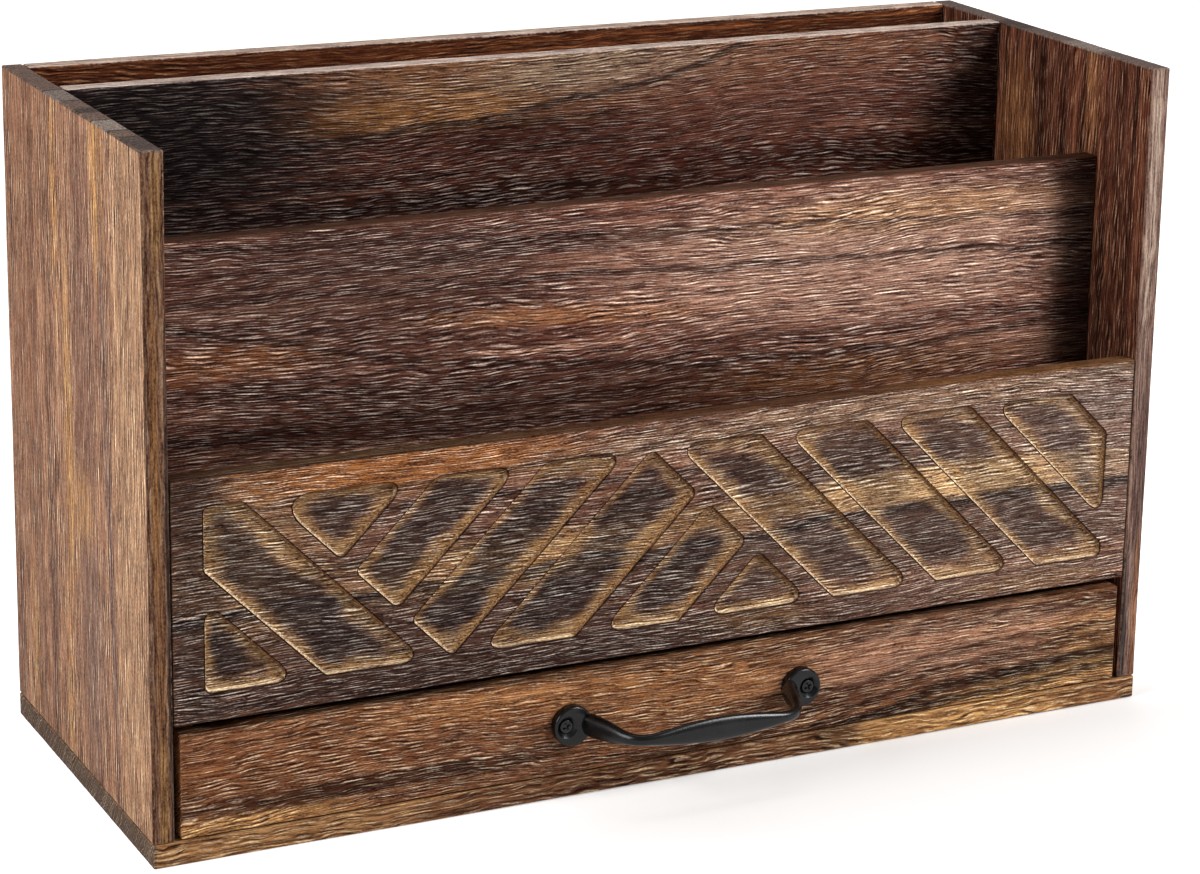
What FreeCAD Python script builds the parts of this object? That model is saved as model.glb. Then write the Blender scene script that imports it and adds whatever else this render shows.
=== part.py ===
"""Desk envelope sorter: an open wooden case with three letter slots over one drawer.

The frame is the case's own: X runs left to right, Y from front to back and Z up.
The origin is the middle of the bottom board's underside.
"""
import FreeCAD, Part
import Sketcher
import math
import os

DOC = FreeCAD.newDocument("envelope_sorter")
SHEET = DOC.addObject("Spreadsheet::Sheet", "sizes")

# Driving dimensions in millimetres, angles in degrees.
SIZES = (
    # the case
    ("case_width", 400),
    ("case_depth", 157),
    ("case_height", 250),
    ("base_thick", 9),
    ("side_thick", 8),
    ("back_thick", 8),
    ("panel_thick", 8),
    ("divider_thick", 8),
    ("shelf_thick", 8),
    ("drawer_opening", 41.5),
    ("panel_height", 87.5),
    ("front_slot", 25),
    ("rear_slot", 35.5),
    ("front_divider_drop", 39.5),
    ("edge_round", 0.8),
    # the carving in the front panel
    ("field_margin_side", 11.5),
    ("field_margin_edge", 10.5),
    ("pocket_depth", 2),
    ("cutter_radius", 2.6),
    ("rib_width", 7.2),
    ("rib_angle", 45),
    ("falling_rib_left", -142),
    ("falling_rib_second", -95),
    ("falling_rib_middle", 58),
    ("falling_rib_pitch", 44.2),
    ("rising_rib_first", -167.5),
    ("rising_rib_pitch", 41.5),
    ("wide_slat_extra", 5.5),
    # the glued dowel joints
    ("dowel_diameter", 4),
    ("dowel_length", 14),
    ("dowel_bite", 5),
    ("dowel_play", 0.1),
    ("dowel_end_room", 0.4),
    ("dowel_inset", 20),
    # the drawer
    ("drawer_side_gap", 2),
    ("drawer_top_gap", 3.1),
    ("drawer_foot_gap", 0.3),
    ("drawer_back_gap", 0.6),
    ("drawer_front_thick", 8),
    ("drawer_side_thick", 8),
    ("drawer_back_thick", 8),
    ("drawer_floor_thick", 4),
    ("drawer_floor_raise", 4),
    ("groove_depth", 3.5),
    ("groove_play", 0.25),
    ("drawer_dowel_low", 14),
    ("drawer_dowel_drop", 9),
    # the pull handle and its screws
    ("pull_span", 93.5),
    ("pull_offset", 2.8),
    ("foot_diameter", 15),
    ("foot_thick", 3.5),
    ("foot_round", 0.7),
    ("grip_reach", 25.5),
    ("grip_height", 10),
    ("grip_thick", 3.4),
    ("shoulder_offset", 17),
    ("neck_height", 4),
    ("root_height", 9.4),
    ("root_thick", 6.6),
    ("root_inset", 4.5),
    ("arm_lean", 20),
    ("bend_radius", 8),
    ("screw_outset", 2.5),
    ("screw_diameter", 2.8),
    ("screw_head_diameter", 4.9),
    ("screw_rim", 0.4),
    ("screw_length", 9),
    ("screw_play", 0.1),
    ("countersink_diameter", 8.2),
    ("recess_length", 3),
    ("recess_width", 0.8),
    ("recess_depth", 1),
)

for row, (alias, size) in enumerate(SIZES, start=1):
    SHEET.set("A%d" % row, alias)
    SHEET.set("B%d" % row, str(size))
    SHEET.setAlias("B%d" % row, alias)
DOC.recompute()

# Places and lengths that several boards share, as expressions on the sheet.
LEFT = "(-sizes.case_width / 2)"
RIGHT = "(sizes.case_width / 2)"
FRONT = "(-sizes.case_depth / 2)"
REAR = "(sizes.case_depth / 2)"
INNER_LEFT = "(sizes.side_thick - sizes.case_width / 2)"
INNER_WIDTH = "(sizes.case_width - 2 * sizes.side_thick)"
SHELF_Z = "(sizes.base_thick + sizes.drawer_opening)"
SLOT_FLOOR_Z = "(%s + sizes.shelf_thick)" % SHELF_Z
WALL_HEIGHT = "(sizes.case_height - sizes.base_thick)"
PANEL_REAR = "(%s + sizes.panel_thick)" % FRONT
BACK_Y = "(%s - sizes.back_thick)" % REAR
SHELF_DEPTH = "(sizes.case_depth - sizes.panel_thick - sizes.back_thick)"
FRONT_DIVIDER_Y = "(%s + sizes.front_slot)" % PANEL_REAR
REAR_DIVIDER_Y = "(%s - sizes.rear_slot - sizes.divider_thick)" % BACK_Y
REAR_DIVIDER_HEIGHT = "(sizes.case_height - %s)" % SLOT_FLOOR_Z
FRONT_DIVIDER_HEIGHT = "(%s - sizes.front_divider_drop)" % REAR_DIVIDER_HEIGHT
DRAWER_LEFT = "(%s + sizes.drawer_side_gap)" % INNER_LEFT
DRAWER_WIDTH = "(%s - 2 * sizes.drawer_side_gap)" % INNER_WIDTH
DRAWER_Z = "(sizes.base_thick + sizes.drawer_foot_gap)"
DRAWER_HEIGHT = "(sizes.drawer_opening - sizes.drawer_top_gap - sizes.drawer_foot_gap)"
DRAWER_LENGTH = "(sizes.case_depth - sizes.back_thick - sizes.drawer_back_gap)"
DRAWER_SIDE_Y = "(%s + sizes.drawer_front_thick)" % FRONT
DRAWER_SIDE_LENGTH = "(%s - sizes.drawer_front_thick)" % DRAWER_LENGTH
DRAWER_BACK_Y = "(%s + %s - sizes.drawer_back_thick)" % (FRONT, DRAWER_LENGTH)
DRAWER_BACK_WIDTH = "(%s - 2 * sizes.drawer_side_thick)" % DRAWER_WIDTH
DRAWER_ROOM_LENGTH = "(%s - sizes.drawer_back_thick)" % DRAWER_SIDE_LENGTH
GROOVE_HEIGHT = "(sizes.drawer_floor_thick + 2 * sizes.groove_play)"
GROOVE_Z = "(sizes.drawer_floor_raise - sizes.groove_play)"
DOWEL_HOLE = "(sizes.dowel_diameter + 2 * sizes.dowel_play)"
SHORT_HOLE = "(sizes.dowel_bite + sizes.dowel_end_room)"
LONG_HOLE = "(sizes.dowel_length - sizes.dowel_bite + sizes.dowel_end_room)"
PULL_Z = "(%s + %s / 2)" % (DRAWER_Z, DRAWER_HEIGHT)
SCREW_X = "(sizes.pull_span / 2 + sizes.screw_outset)"
FOOT_FACE = "(%s - sizes.foot_thick)" % FRONT
HEAD_SINK = "((sizes.countersink_diameter - sizes.screw_head_diameter) / 2 - sizes.screw_play)"
HEAD_TOP = "(%s - sizes.screw_rim)" % HEAD_SINK

# Each face of a board: the plane to sketch on, the sketch's offset along that plane's
# normal (a sign and the board's size across the face) and whether a cut is reversed.
FACES = {
    "left": ("YZ_Plane", None, True),
    "right": ("YZ_Plane", "+length", False),
    "front": ("XZ_Plane", None, False),
    "back": ("XZ_Plane", "-depth", True),
    "bottom": ("XY_Plane", None, True),
    "top": ("XY_Plane", "+height", False),
}


def number(expression):
    """The present value of an expression on the sheet."""
    return float(SHEET.evalExpression(expression))


def move(thing, x_place, y_place, z_place):
    """Bind an object's place to three expressions."""
    thing.setExpression("Placement.Base.x", x_place)
    thing.setExpression("Placement.Base.y", y_place)
    thing.setExpression("Placement.Base.z", z_place)


def sketch_on(body, role, name):
    """A new sketch on one of the body's own origin planes."""
    plane = [item for item in body.Origin.OriginFeatures if item.Role == role][0]
    sketch = body.newObject("Sketcher::SketchObject", name)
    sketch.AttachmentSupport = [(plane, "")]
    sketch.MapMode = "FlatFace"
    return sketch


def add_rectangle(sketch, width, height, x_low=None, y_low=None):
    """A rectangle bound to expressions; a low side without one lies on the sketch's axis."""
    left = number(x_low) if x_low else 0
    low = number(y_low) if y_low else 0
    right, high = left + number(width), low + number(height)
    corners = [(left, low), (right, low), (right, high), (left, high)]
    points = [FreeCAD.Vector(x, y, 0) for x, y in corners]
    lines = [Part.LineSegment(points[i], points[(i + 1) % 4]) for i in range(4)]
    first = sketch.addGeometry(lines, False)[0]
    for side in range(4):
        after = (side + 1) % 4
        sketch.addConstraint(Sketcher.Constraint("Coincident", first + side, 2, first + after, 1))
        level = "Horizontal" if side % 2 == 0 else "Vertical"
        sketch.addConstraint(Sketcher.Constraint(level, first + side))
    sketch_point(sketch, first, 1, x_low, y_low)
    add_span(sketch, "DistanceX", first, width)
    add_span(sketch, "DistanceY", first + 1, height)


def add_span(sketch, kind, line, expression):
    """The length of a level or upright line."""
    index = sketch.addConstraint(Sketcher.Constraint(kind, line, 1, line, 2, number(expression)))
    sketch.setExpression("Constraints[%d]" % index, expression)


def sketch_point(sketch, geometry, point, x_place, y_place):
    """A point's distance from the sketch's two axes; one without an expression lies on its axis."""
    for kind, place, axis in (("DistanceX", x_place, -2), ("DistanceY", y_place, -1)):
        if place is None:
            sketch.addConstraint(Sketcher.Constraint("PointOnObject", geometry, point, axis))
            continue
        constraint = Sketcher.Constraint(kind, -1, 1, geometry, point, number(place))
        index = sketch.addConstraint(constraint)
        sketch.setExpression("Constraints[%d]" % index, place)


def add_circle(sketch, x_place, y_place, diameter):
    """A circle bound to three expressions."""
    centre = FreeCAD.Vector(number(x_place), number(y_place), 0)
    circle = Part.Circle(centre, FreeCAD.Vector(0, 0, 1), number(diameter) / 2)
    geometry = sketch.addGeometry(circle, False)
    sketch_point(sketch, geometry, 3, x_place, y_place)
    index = sketch.addConstraint(Sketcher.Constraint("Diameter", geometry, number(diameter)))
    sketch.setExpression("Constraints[%d]" % index, diameter)


class Board:
    """A rectangular board with eased edges, modelled from its low corner."""

    def __init__(self, label, length, depth, height, place):
        self.label = label
        self.span = {"length": length, "depth": depth, "height": height}
        self.body = DOC.addObject("PartDesign::Body", label)
        self.body.Label = label
        outline = sketch_on(self.body, "XY_Plane", label + "_outline")
        add_rectangle(outline, length, depth)
        pad = self.body.newObject("PartDesign::Pad", label + "_pad")
        pad.Profile = outline
        pad.setExpression("Length", height)
        DOC.recompute()
        eased = self.body.newObject("PartDesign::Fillet", label + "_eased")
        eased.Base = (pad, ["Edge%d" % (i + 1) for i in range(len(pad.Shape.Edges))])
        eased.setExpression("Radius", "sizes.edge_round")
        move(self.body, *place)
        DOC.recompute()

    def cut(self, face, name, depth, draw):
        """Cut what draw(sketch) draws on a face into the board."""
        role, offset, is_reversed = FACES[face]
        before = self.body.Shape.Volume
        sketch = sketch_on(self.body, role, "%s_%s" % (self.label, name))
        if offset:
            sketch.setExpression("AttachmentOffset.Base.z", offset[0] + self.span[offset[1:]])
        draw(sketch)
        pocket = self.body.newObject("PartDesign::Pocket", "%s_%s_cut" % (self.label, name))
        pocket.Profile = sketch
        pocket.Reversed = is_reversed
        pocket.setExpression("Length", depth)
        DOC.recompute()
        if self.body.Shape.Volume > before - 1:
            raise RuntimeError("%s: %s cut nothing" % (self.label, name))

    def drill(self, face, name, depth, spots, diameter=DOWEL_HOLE):
        """Drill blind holes into a face, at spots measured from the board's low corner."""

        def draw(sketch):
            for x_place, y_place in spots:
                add_circle(sketch, x_place, y_place, diameter)

        self.cut(face, name, depth, draw)

    def groove(self, face, width, x_low=None):
        """Plough the groove that holds the drawer's floor."""
        self.cut(face, "floor_groove", "sizes.groove_depth",
                 lambda sketch: add_rectangle(sketch, width, GROOVE_HEIGHT, x_low, GROOVE_Z))


def spread(length, count, inset="sizes.dowel_inset"):
    """Evenly spaced places along a length, the outer two one inset from its ends."""
    step = "((%s - 2 * %s) / %d)" % (length, inset, count - 1)
    return ["(%s + %d * %s)" % (inset, i, step) for i in range(count)]


def dowel(name, axis, x_place, y_place, z_place):
    """One dowel, its low end at the place given."""
    pin = DOC.addObject("Part::Cylinder", name)
    pin.setExpression("Radius", "sizes.dowel_diameter / 2")
    pin.setExpression("Height", "sizes.dowel_length")
    turns = {"X": (FreeCAD.Vector(0, 1, 0), 90), "Y": (FreeCAD.Vector(1, 0, 0), -90),
             "Z": (FreeCAD.Vector(0, 0, 1), 0)}
    pin.Placement = FreeCAD.Placement(FreeCAD.Vector(), FreeCAD.Rotation(*turns[axis]))
    move(pin, x_place, y_place, z_place)
    return pin


def group(label, members):
    """Separate solids kept together as one sub-part."""
    compound = DOC.addObject("Part::Compound", label)
    compound.Label = label
    compound.Links = members
    return compound


def cross_boards():
    """The boards between the two sides, drilled at both ends.

    Each comes with the dowel spots of its ends, which stand in a row along the board's height
    or, on the level shelf, along its depth, and with the place of its low front corner.
    """
    plans = (
        ("back_panel", "sizes.back_thick", WALL_HEIGHT, BACK_Y, "sizes.base_thick", 3),
        ("drawer_shelf", SHELF_DEPTH, "sizes.shelf_thick", PANEL_REAR, SHELF_Z, 3),
        ("front_divider", "sizes.divider_thick", FRONT_DIVIDER_HEIGHT, FRONT_DIVIDER_Y,
         SLOT_FLOOR_Z, 3),
        ("rear_divider", "sizes.divider_thick", REAR_DIVIDER_HEIGHT, REAR_DIVIDER_Y,
         SLOT_FLOOR_Z, 3),
        ("front_panel_blank", "sizes.panel_thick", "sizes.panel_height", FRONT, SHELF_Z, 2),
    )
    boards = {}
    for label, depth, height, y_place, z_place, count in plans:
        board = Board(label, INNER_WIDTH, depth, height, (INNER_LEFT, y_place, z_place))
        if label == "drawer_shelf":
            spots = [(y, "(%s / 2)" % height) for y in spread(depth, count)]
        else:
            spots = [("(%s / 2)" % depth, z) for z in spread(height, count)]
        board.drill("left", "left_dowel_holes", LONG_HOLE, spots)
        board.drill("right", "right_dowel_holes", LONG_HOLE, spots)
        boards[label] = (board, spots, (y_place, z_place))
    return boards


def base_and_walls(boards):
    """The bottom board and the two sides that stand on it, drilled for their dowels."""
    base = Board("bottom_board", "sizes.case_width", "sizes.case_depth", "sizes.base_thick",
                 (LEFT, FRONT, "0"))
    left = Board("left_side", "sizes.side_thick", "sizes.case_depth", WALL_HEIGHT,
                 (LEFT, FRONT, "sizes.base_thick"))
    right = Board("right_side", "sizes.side_thick", "sizes.case_depth", WALL_HEIGHT,
                  ("(%s - sizes.side_thick)" % RIGHT, FRONT, "sizes.base_thick"))
    half_side = "(sizes.side_thick / 2)"
    side_rows = spread("sizes.case_depth", 3)
    side_spots = [(half_side, y) for y in side_rows]
    end_spots = []
    for board, spots, (y_corner, z_corner) in boards.values():
        for y_place, z_place in spots:
            y_spot = "(%s + %s + sizes.case_depth / 2)" % (y_corner, y_place)
            z_spot = "(%s + %s - sizes.base_thick)" % (z_corner, z_place)
            end_spots.append((y_spot, z_spot))
    for wall, inner_face in ((left, "right"), (right, "left")):
        wall.drill("bottom", "foot_dowel_holes", LONG_HOLE, side_spots)
        wall.drill(inner_face, "inner_dowel_holes", SHORT_HOLE, end_spots)
    back_columns = spread(INNER_WIDTH, 3)
    boards["back_panel"][0].drill("bottom", "foot_dowel_holes", LONG_HOLE,
                                  [(x, "(sizes.back_thick / 2)") for x in back_columns])
    far_side = "(sizes.case_width - sizes.side_thick / 2)"
    back_row = "(sizes.case_depth - sizes.back_thick / 2)"
    base_spots = side_spots + [(far_side, y) for y in side_rows]
    base_spots += [("(sizes.side_thick + %s)" % x, back_row) for x in back_columns]
    base.drill("top", "dowel_holes", SHORT_HOLE, base_spots)
    return base, left, right, base_spots, end_spots


def case_dowels(base_spots, end_spots):
    """The dowels of the case: upright ones in the base, level ones in each side."""
    foot_z = "(sizes.base_thick - sizes.dowel_bite)"
    upright = []
    for i, (x_place, y_place) in enumerate(base_spots):
        upright.append(dowel("base_dowel_%d" % (i + 1), "Z", "(%s + %s)" % (LEFT, x_place),
                             "(%s + %s)" % (FRONT, y_place), foot_z))
    left_x = "(%s - sizes.dowel_bite)" % INNER_LEFT
    right_x = "(sizes.dowel_bite - %s - sizes.dowel_length)" % INNER_LEFT
    level = {"left": [], "right": []}
    for i, (y_place, z_place) in enumerate(end_spots):
        for hand, x_place in (("left", left_x), ("right", right_x)):
            level[hand].append(dowel("%s_dowel_%d" % (hand, i + 1), "X", x_place,
                                     "(%s + %s)" % (FRONT, y_place),
                                     "(sizes.base_thick + %s)" % z_place))
    return [group("base_dowels", upright), group("left_side_dowels", level["left"]),
            group("right_side_dowels", level["right"])]


def clip(polygon, normal, limit):
    """The part of a polygon whose points keep point . normal <= limit."""
    kept = []
    for i, point in enumerate(polygon):
        after = polygon[(i + 1) % len(polygon)]
        here = point.dot(normal) - limit
        there = after.dot(normal) - limit
        if here <= 0:
            kept.append(point)
        if here * there < 0:
            kept.append(point + (after - point) * (here / (here - there)))
    return kept


def between(polygon, normal, low, high):
    """The part of a polygon between two parallel lines."""
    return clip(clip(polygon, normal, high), normal * -1, -low)


def pocket_paths():
    """Polygons that the cutter's centre stays in, one for each carved pocket.

    They lie in the panel's face: X from its middle, Y up from the foot of the carved field.
    A gap between ribs that is too narrow for the cutter gives no polygon.
    """
    half_field = number(INNER_WIDTH) / 2 - number("sizes.field_margin_side")
    field_height = number("sizes.panel_height - 2 * sizes.field_margin_edge")
    radius = number("sizes.cutter_radius")
    keep_off = number("sizes.rib_width") / 2 + radius
    angle = math.radians(number("sizes.rib_angle"))
    falling = FreeCAD.Vector(math.sin(angle), math.cos(angle), 0)
    rising = FreeCAD.Vector(math.sin(angle), -math.cos(angle), 0)
    corners = ((-1, 0), (1, 0), (1, 1), (-1, 1))
    field = [FreeCAD.Vector(side * (half_field - radius),
                            radius + up * (field_height - 2 * radius), 0)
             for side, up in corners]

    pitch = number("sizes.falling_rib_pitch")
    middle = number("sizes.falling_rib_middle")
    falling_feet = [number("sizes.falling_rib_left"), number("sizes.falling_rib_second")]
    while middle < half_field + field_height / math.tan(angle):
        falling_feet.append(middle)
        middle += pitch
    rising_feet = []
    for step in range(5):
        extra = number("sizes.wide_slat_extra") if step > 2 else 0
        foot = number("sizes.rising_rib_first") + step * number("sizes.rising_rib_pitch")
        rising_feet.append(foot + extra)

    far = 10 * half_field
    falling_lines = [-far] + [foot * math.sin(angle) for foot in falling_feet] + [far]
    rising_lines = [-far] + [foot * math.sin(angle) for foot in rising_feet] + [far]
    paths = []
    for strip in range(len(falling_lines) - 1):
        low, high = falling_lines[strip], falling_lines[strip + 1]
        band = between(field, falling, low + keep_off, high - keep_off)
        if strip != 2:
            paths.append(band)
            continue
        for i in range(len(rising_lines) - 1):
            paths.append(between(band, rising, rising_lines[i] + keep_off,
                                 rising_lines[i + 1] - keep_off))
    return [path for path in paths if len(path) > 2]


def carve_panel(blank):
    """Cut the pockets into the panel, their corners as round as the cutter."""
    cutters = []
    for path in pocket_paths():
        outline = Part.Wire(Part.makePolygon(path + path[:1]))
        swept = Part.Face(outline).makeOffset2D(number("sizes.cutter_radius"))
        cutters.append(swept.extrude(FreeCAD.Vector(0, 0, 2 * number("sizes.pocket_depth"))))
    carving = DOC.addObject("Part::Feature", "carving")
    carving.Shape = Part.makeCompound(cutters)
    upright = FreeCAD.Rotation(FreeCAD.Vector(1, 0, 0), 90)
    place = FreeCAD.Vector(0, number("%s + sizes.pocket_depth" % FRONT),
                           number("%s + sizes.field_margin_edge" % SHELF_Z))
    carving.Placement = FreeCAD.Placement(place, upright)
    panel = DOC.addObject("Part::Cut", "front_panel")
    panel.Label = "front_panel"
    panel.Base = blank.body
    panel.Tool = carving
    DOC.recompute()
    return panel


def drawer_box():
    """The drawer's front, sides, back and floor, and the dowels that join them."""
    front = Board("drawer_front", DRAWER_WIDTH, "sizes.drawer_front_thick", DRAWER_HEIGHT,
                  (DRAWER_LEFT, FRONT, DRAWER_Z))
    left = Board("drawer_left_side", "sizes.drawer_side_thick", DRAWER_SIDE_LENGTH,
                 DRAWER_HEIGHT, (DRAWER_LEFT, DRAWER_SIDE_Y, DRAWER_Z))
    right_x = "(%s + %s - sizes.drawer_side_thick)" % (DRAWER_LEFT, DRAWER_WIDTH)
    right = Board("drawer_right_side", "sizes.drawer_side_thick", DRAWER_SIDE_LENGTH,
                  DRAWER_HEIGHT, (right_x, DRAWER_SIDE_Y, DRAWER_Z))
    back_x = "(%s + sizes.drawer_side_thick)" % DRAWER_LEFT
    back = Board("drawer_back", DRAWER_BACK_WIDTH, "sizes.drawer_back_thick", DRAWER_HEIGHT,
                 (back_x, DRAWER_BACK_Y, DRAWER_Z))

    side_groove = DRAWER_ROOM_LENGTH + " + sizes.groove_depth"
    front.groove("back", DRAWER_BACK_WIDTH + " + 2 * sizes.groove_depth",
                 "sizes.drawer_side_thick - sizes.groove_depth")
    left.groove("right", side_groove)
    right.groove("left", side_groove)
    back.groove("front", DRAWER_BACK_WIDTH)

    heights = ["sizes.drawer_dowel_low", "(%s - sizes.drawer_dowel_drop)" % DRAWER_HEIGHT]
    half_side = "(sizes.drawer_side_thick / 2)"
    half_back = "(sizes.drawer_back_thick / 2)"
    far_side = "(%s - sizes.drawer_side_thick / 2)" % DRAWER_WIDTH
    back_spot = "(%s - sizes.drawer_back_thick / 2)" % DRAWER_SIDE_LENGTH
    front.drill("back", "dowel_holes", SHORT_HOLE,
                [(x, z) for x in (half_side, far_side) for z in heights])
    left.drill("front", "dowel_holes", LONG_HOLE, [(half_side, z) for z in heights])
    right.drill("front", "dowel_holes", LONG_HOLE, [(half_side, z) for z in heights])
    left.drill("right", "back_dowel_holes", SHORT_HOLE, [(back_spot, z) for z in heights])
    right.drill("left", "back_dowel_holes", SHORT_HOLE, [(back_spot, z) for z in heights])
    back.drill("left", "left_dowel_holes", LONG_HOLE, [(half_back, z) for z in heights])
    back.drill("right", "right_dowel_holes", LONG_HOLE, [(half_back, z) for z in heights])
    middle = "%s / 2 + sizes.pull_offset" % DRAWER_WIDTH
    half_height = "(%s / 2)" % DRAWER_HEIGHT
    bite = "(%s + sizes.screw_length - sizes.foot_thick + sizes.dowel_end_room)" % HEAD_TOP
    screw_spots = [("(%s %s %s)" % (middle, sign, SCREW_X), half_height) for sign in "-+"]
    front.drill("front", "screw_holes", bite, screw_spots,
                "(sizes.screw_diameter + 2 * sizes.screw_play)")

    reach = "(sizes.groove_depth - sizes.groove_play)"
    floor = Board("drawer_floor", "(%s + 2 * %s)" % (DRAWER_BACK_WIDTH, reach),
                  "(%s + 2 * %s)" % (DRAWER_ROOM_LENGTH, reach), "sizes.drawer_floor_thick",
                  ("(%s - %s)" % (back_x, reach), "(%s - %s)" % (DRAWER_SIDE_Y, reach),
                   "(%s + sizes.drawer_floor_raise)" % DRAWER_Z))
    return [front, left, right, back, floor], drawer_dowels(heights)


def drawer_dowels(heights):
    """The dowels at the drawer's four corners."""
    pins = []
    half_side = "sizes.drawer_side_thick / 2"
    left_x = "(%s + %s)" % (DRAWER_LEFT, half_side)
    right_x = "(%s + %s - %s)" % (DRAWER_LEFT, DRAWER_WIDTH, half_side)
    front_y = "(%s - sizes.dowel_bite)" % DRAWER_SIDE_Y
    back_y = "(%s + sizes.drawer_back_thick / 2)" % DRAWER_BACK_Y
    back_left_x = "(%s + sizes.drawer_side_thick - sizes.dowel_bite)" % DRAWER_LEFT
    back_right_x = ("(%s + %s - sizes.drawer_side_thick + sizes.dowel_bite"
                    " - sizes.dowel_length)" % (DRAWER_LEFT, DRAWER_WIDTH))
    for i, height in enumerate(heights):
        z_place = "(%s + %s)" % (DRAWER_Z, height)
        pins.append(dowel("drawer_front_dowel_left_%d" % i, "Y", left_x, front_y, z_place))
        pins.append(dowel("drawer_front_dowel_right_%d" % i, "Y", right_x, front_y, z_place))
        pins.append(dowel("drawer_back_dowel_left_%d" % i, "X", back_left_x, back_y, z_place))
        pins.append(dowel("drawer_back_dowel_right_%d" % i, "X", back_right_x, back_y, z_place))
    return group("drawer_dowels", pins)


def bow_stations():
    """Cross-sections of the bow from one foot to its middle.

    Each is the offset from the middle, the distance in front of the drawer, the turn of the
    path from straight out (0) to level (90), and the section's height and thickness.
    """
    lean = number("sizes.arm_lean")
    radius = number("sizes.bend_radius")
    reach = number("sizes.grip_reach")
    root = number("sizes.pull_span / 2 - sizes.root_inset")
    root_height = number("sizes.root_height")
    root_thick = number("sizes.root_thick")
    neck = number("sizes.neck_height")
    grip_height = number("sizes.grip_height")
    grip_thick = number("sizes.grip_thick")
    bend_start = reach - radius * (1 - math.sin(math.radians(lean)))
    slope = math.tan(math.radians(lean))
    stations = []
    for share in (0.05, 0.35, 0.7, 1.0):
        out = share * bend_start
        height = root_height + (1.2 * neck - root_height) * share ** 2.8
        thick = root_thick + (1.15 * grip_thick - root_thick) * share
        stations.append((root - out * slope, out, lean, height, thick))
    centre_x = root - bend_start * slope - radius * math.cos(math.radians(lean))
    centre_y = reach - radius
    for turn, swell in (((90 + lean) / 2, 1.05), (90, 1.0)):
        angle = math.radians(turn)
        stations.append((centre_x + radius * math.cos(angle), centre_y + radius * math.sin(angle),
                         turn, swell * neck, swell * grip_thick))
    shoulder = number("sizes.shoulder_offset")
    stations.append((shoulder, reach, 90, neck + 0.56 * (grip_height - neck), grip_thick))
    stations.append((0, reach, 90, grip_height, grip_thick))
    return stations


def ellipse_section(index, offset, out, turn, height, thick, middle):
    """One upright ellipse across the bow's path, as a sketchable curve of the document."""
    curve = DOC.addObject("Part::Ellipse", "bow_section_%d" % index)
    is_tall = height >= thick
    curve.MajorRadius = max(height, thick) / 2
    curve.MinorRadius = min(height, thick) / 2
    along = FreeCAD.Vector(-math.sin(math.radians(turn)), -math.cos(math.radians(turn)), 0)
    across = along.cross(FreeCAD.Vector(0, 0, 1))
    major = FreeCAD.Vector(0, 0, 1) if is_tall else across
    minor = across * -1 if is_tall else FreeCAD.Vector(0, 0, 1)
    place = FreeCAD.Vector(middle.x + offset, middle.y - out, middle.z)
    curve.Placement = FreeCAD.Placement(place, FreeCAD.Rotation(major, minor, along, "XYZ"))
    return curve


def pull_foot(hand, sign):
    """A round foot, flat on the drawer's front, with a rounded rim."""
    disc = DOC.addObject("Part::Cylinder", "%s_foot_disc" % hand)
    disc.setExpression("Radius", "sizes.foot_diameter / 2")
    disc.setExpression("Height", "sizes.foot_thick")
    outward = FreeCAD.Rotation(FreeCAD.Vector(1, 0, 0), 90)
    disc.Placement = FreeCAD.Placement(FreeCAD.Vector(), outward)
    move(disc, "sizes.pull_offset %s sizes.pull_span / 2" % sign, FRONT, PULL_Z)
    DOC.recompute()
    foot = DOC.addObject("Part::Fillet", "%s_foot" % hand)
    foot.Base = disc
    radius = number("sizes.foot_round")
    face = number(FOOT_FACE)
    foot.Edges = [(i + 1, radius, radius) for i, edge in enumerate(disc.Shape.Edges)
                  if edge.Closed and edge.CenterOfMass.y < face + radius]
    return foot


def pull_handle():
    """The cast pull: two round feet joined by a bow that flattens into a grip."""
    middle = FreeCAD.Vector(number("sizes.pull_offset"), number(FRONT), number(PULL_Z))
    stations = bow_stations()
    mirrored = [(-offset, out, 180 - turn, height, thick)
                for offset, out, turn, height, thick in stations[-2::-1]]
    sections = [ellipse_section(i, *station, middle)
                for i, station in enumerate(stations + mirrored)]
    bow = DOC.addObject("Part::Loft", "bow")
    bow.Sections = sections
    bow.Solid = True
    bow.Ruled = False
    pieces = [bow]
    holes = []
    for hand, sign in (("left", "-"), ("right", "+")):
        pieces.append(pull_foot(hand, sign))
        holes += screw_hole("%s_screw_hole" % hand, sign)
    whole = DOC.addObject("Part::MultiFuse", "pull_casting")
    whole.Shapes = pieces
    drillings = DOC.addObject("Part::MultiFuse", "pull_screw_holes")
    drillings.Shapes = holes
    pull = DOC.addObject("Part::Cut", "pull_handle")
    pull.Label = "pull_handle"
    pull.Base = whole
    pull.Tool = drillings
    DOC.recompute()
    return pull


def round_solid(name, kind, sign, depth, **bindings):
    """A cone or cylinder that runs into the wood from a depth below the foot's face."""
    solid = DOC.addObject("Part::" + kind, name)
    for size, expression in bindings.items():
        solid.setExpression(size, expression)
    into_wood = FreeCAD.Rotation(FreeCAD.Vector(1, 0, 0), -90)
    solid.Placement = FreeCAD.Placement(FreeCAD.Vector(), into_wood)
    move(solid, "sizes.pull_offset %s %s" % (sign, SCREW_X), "%s + %s" % (FOOT_FACE, depth), PULL_Z)
    return solid


def screw_hole(name, sign):
    """A countersunk hole through a foot."""
    wide = "(sizes.countersink_diameter / 2)"
    narrow = "(sizes.screw_diameter / 2 + sizes.screw_play)"
    cone = round_solid(name + "_countersink", "Cone", sign, "0", Radius1=wide, Radius2=narrow,
                       Height="%s - %s" % (wide, narrow))
    bore = round_solid(name + "_bore", "Cylinder", sign, "0", Radius=narrow,
                       Height="2 * sizes.foot_thick")
    return [cone, bore]


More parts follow.
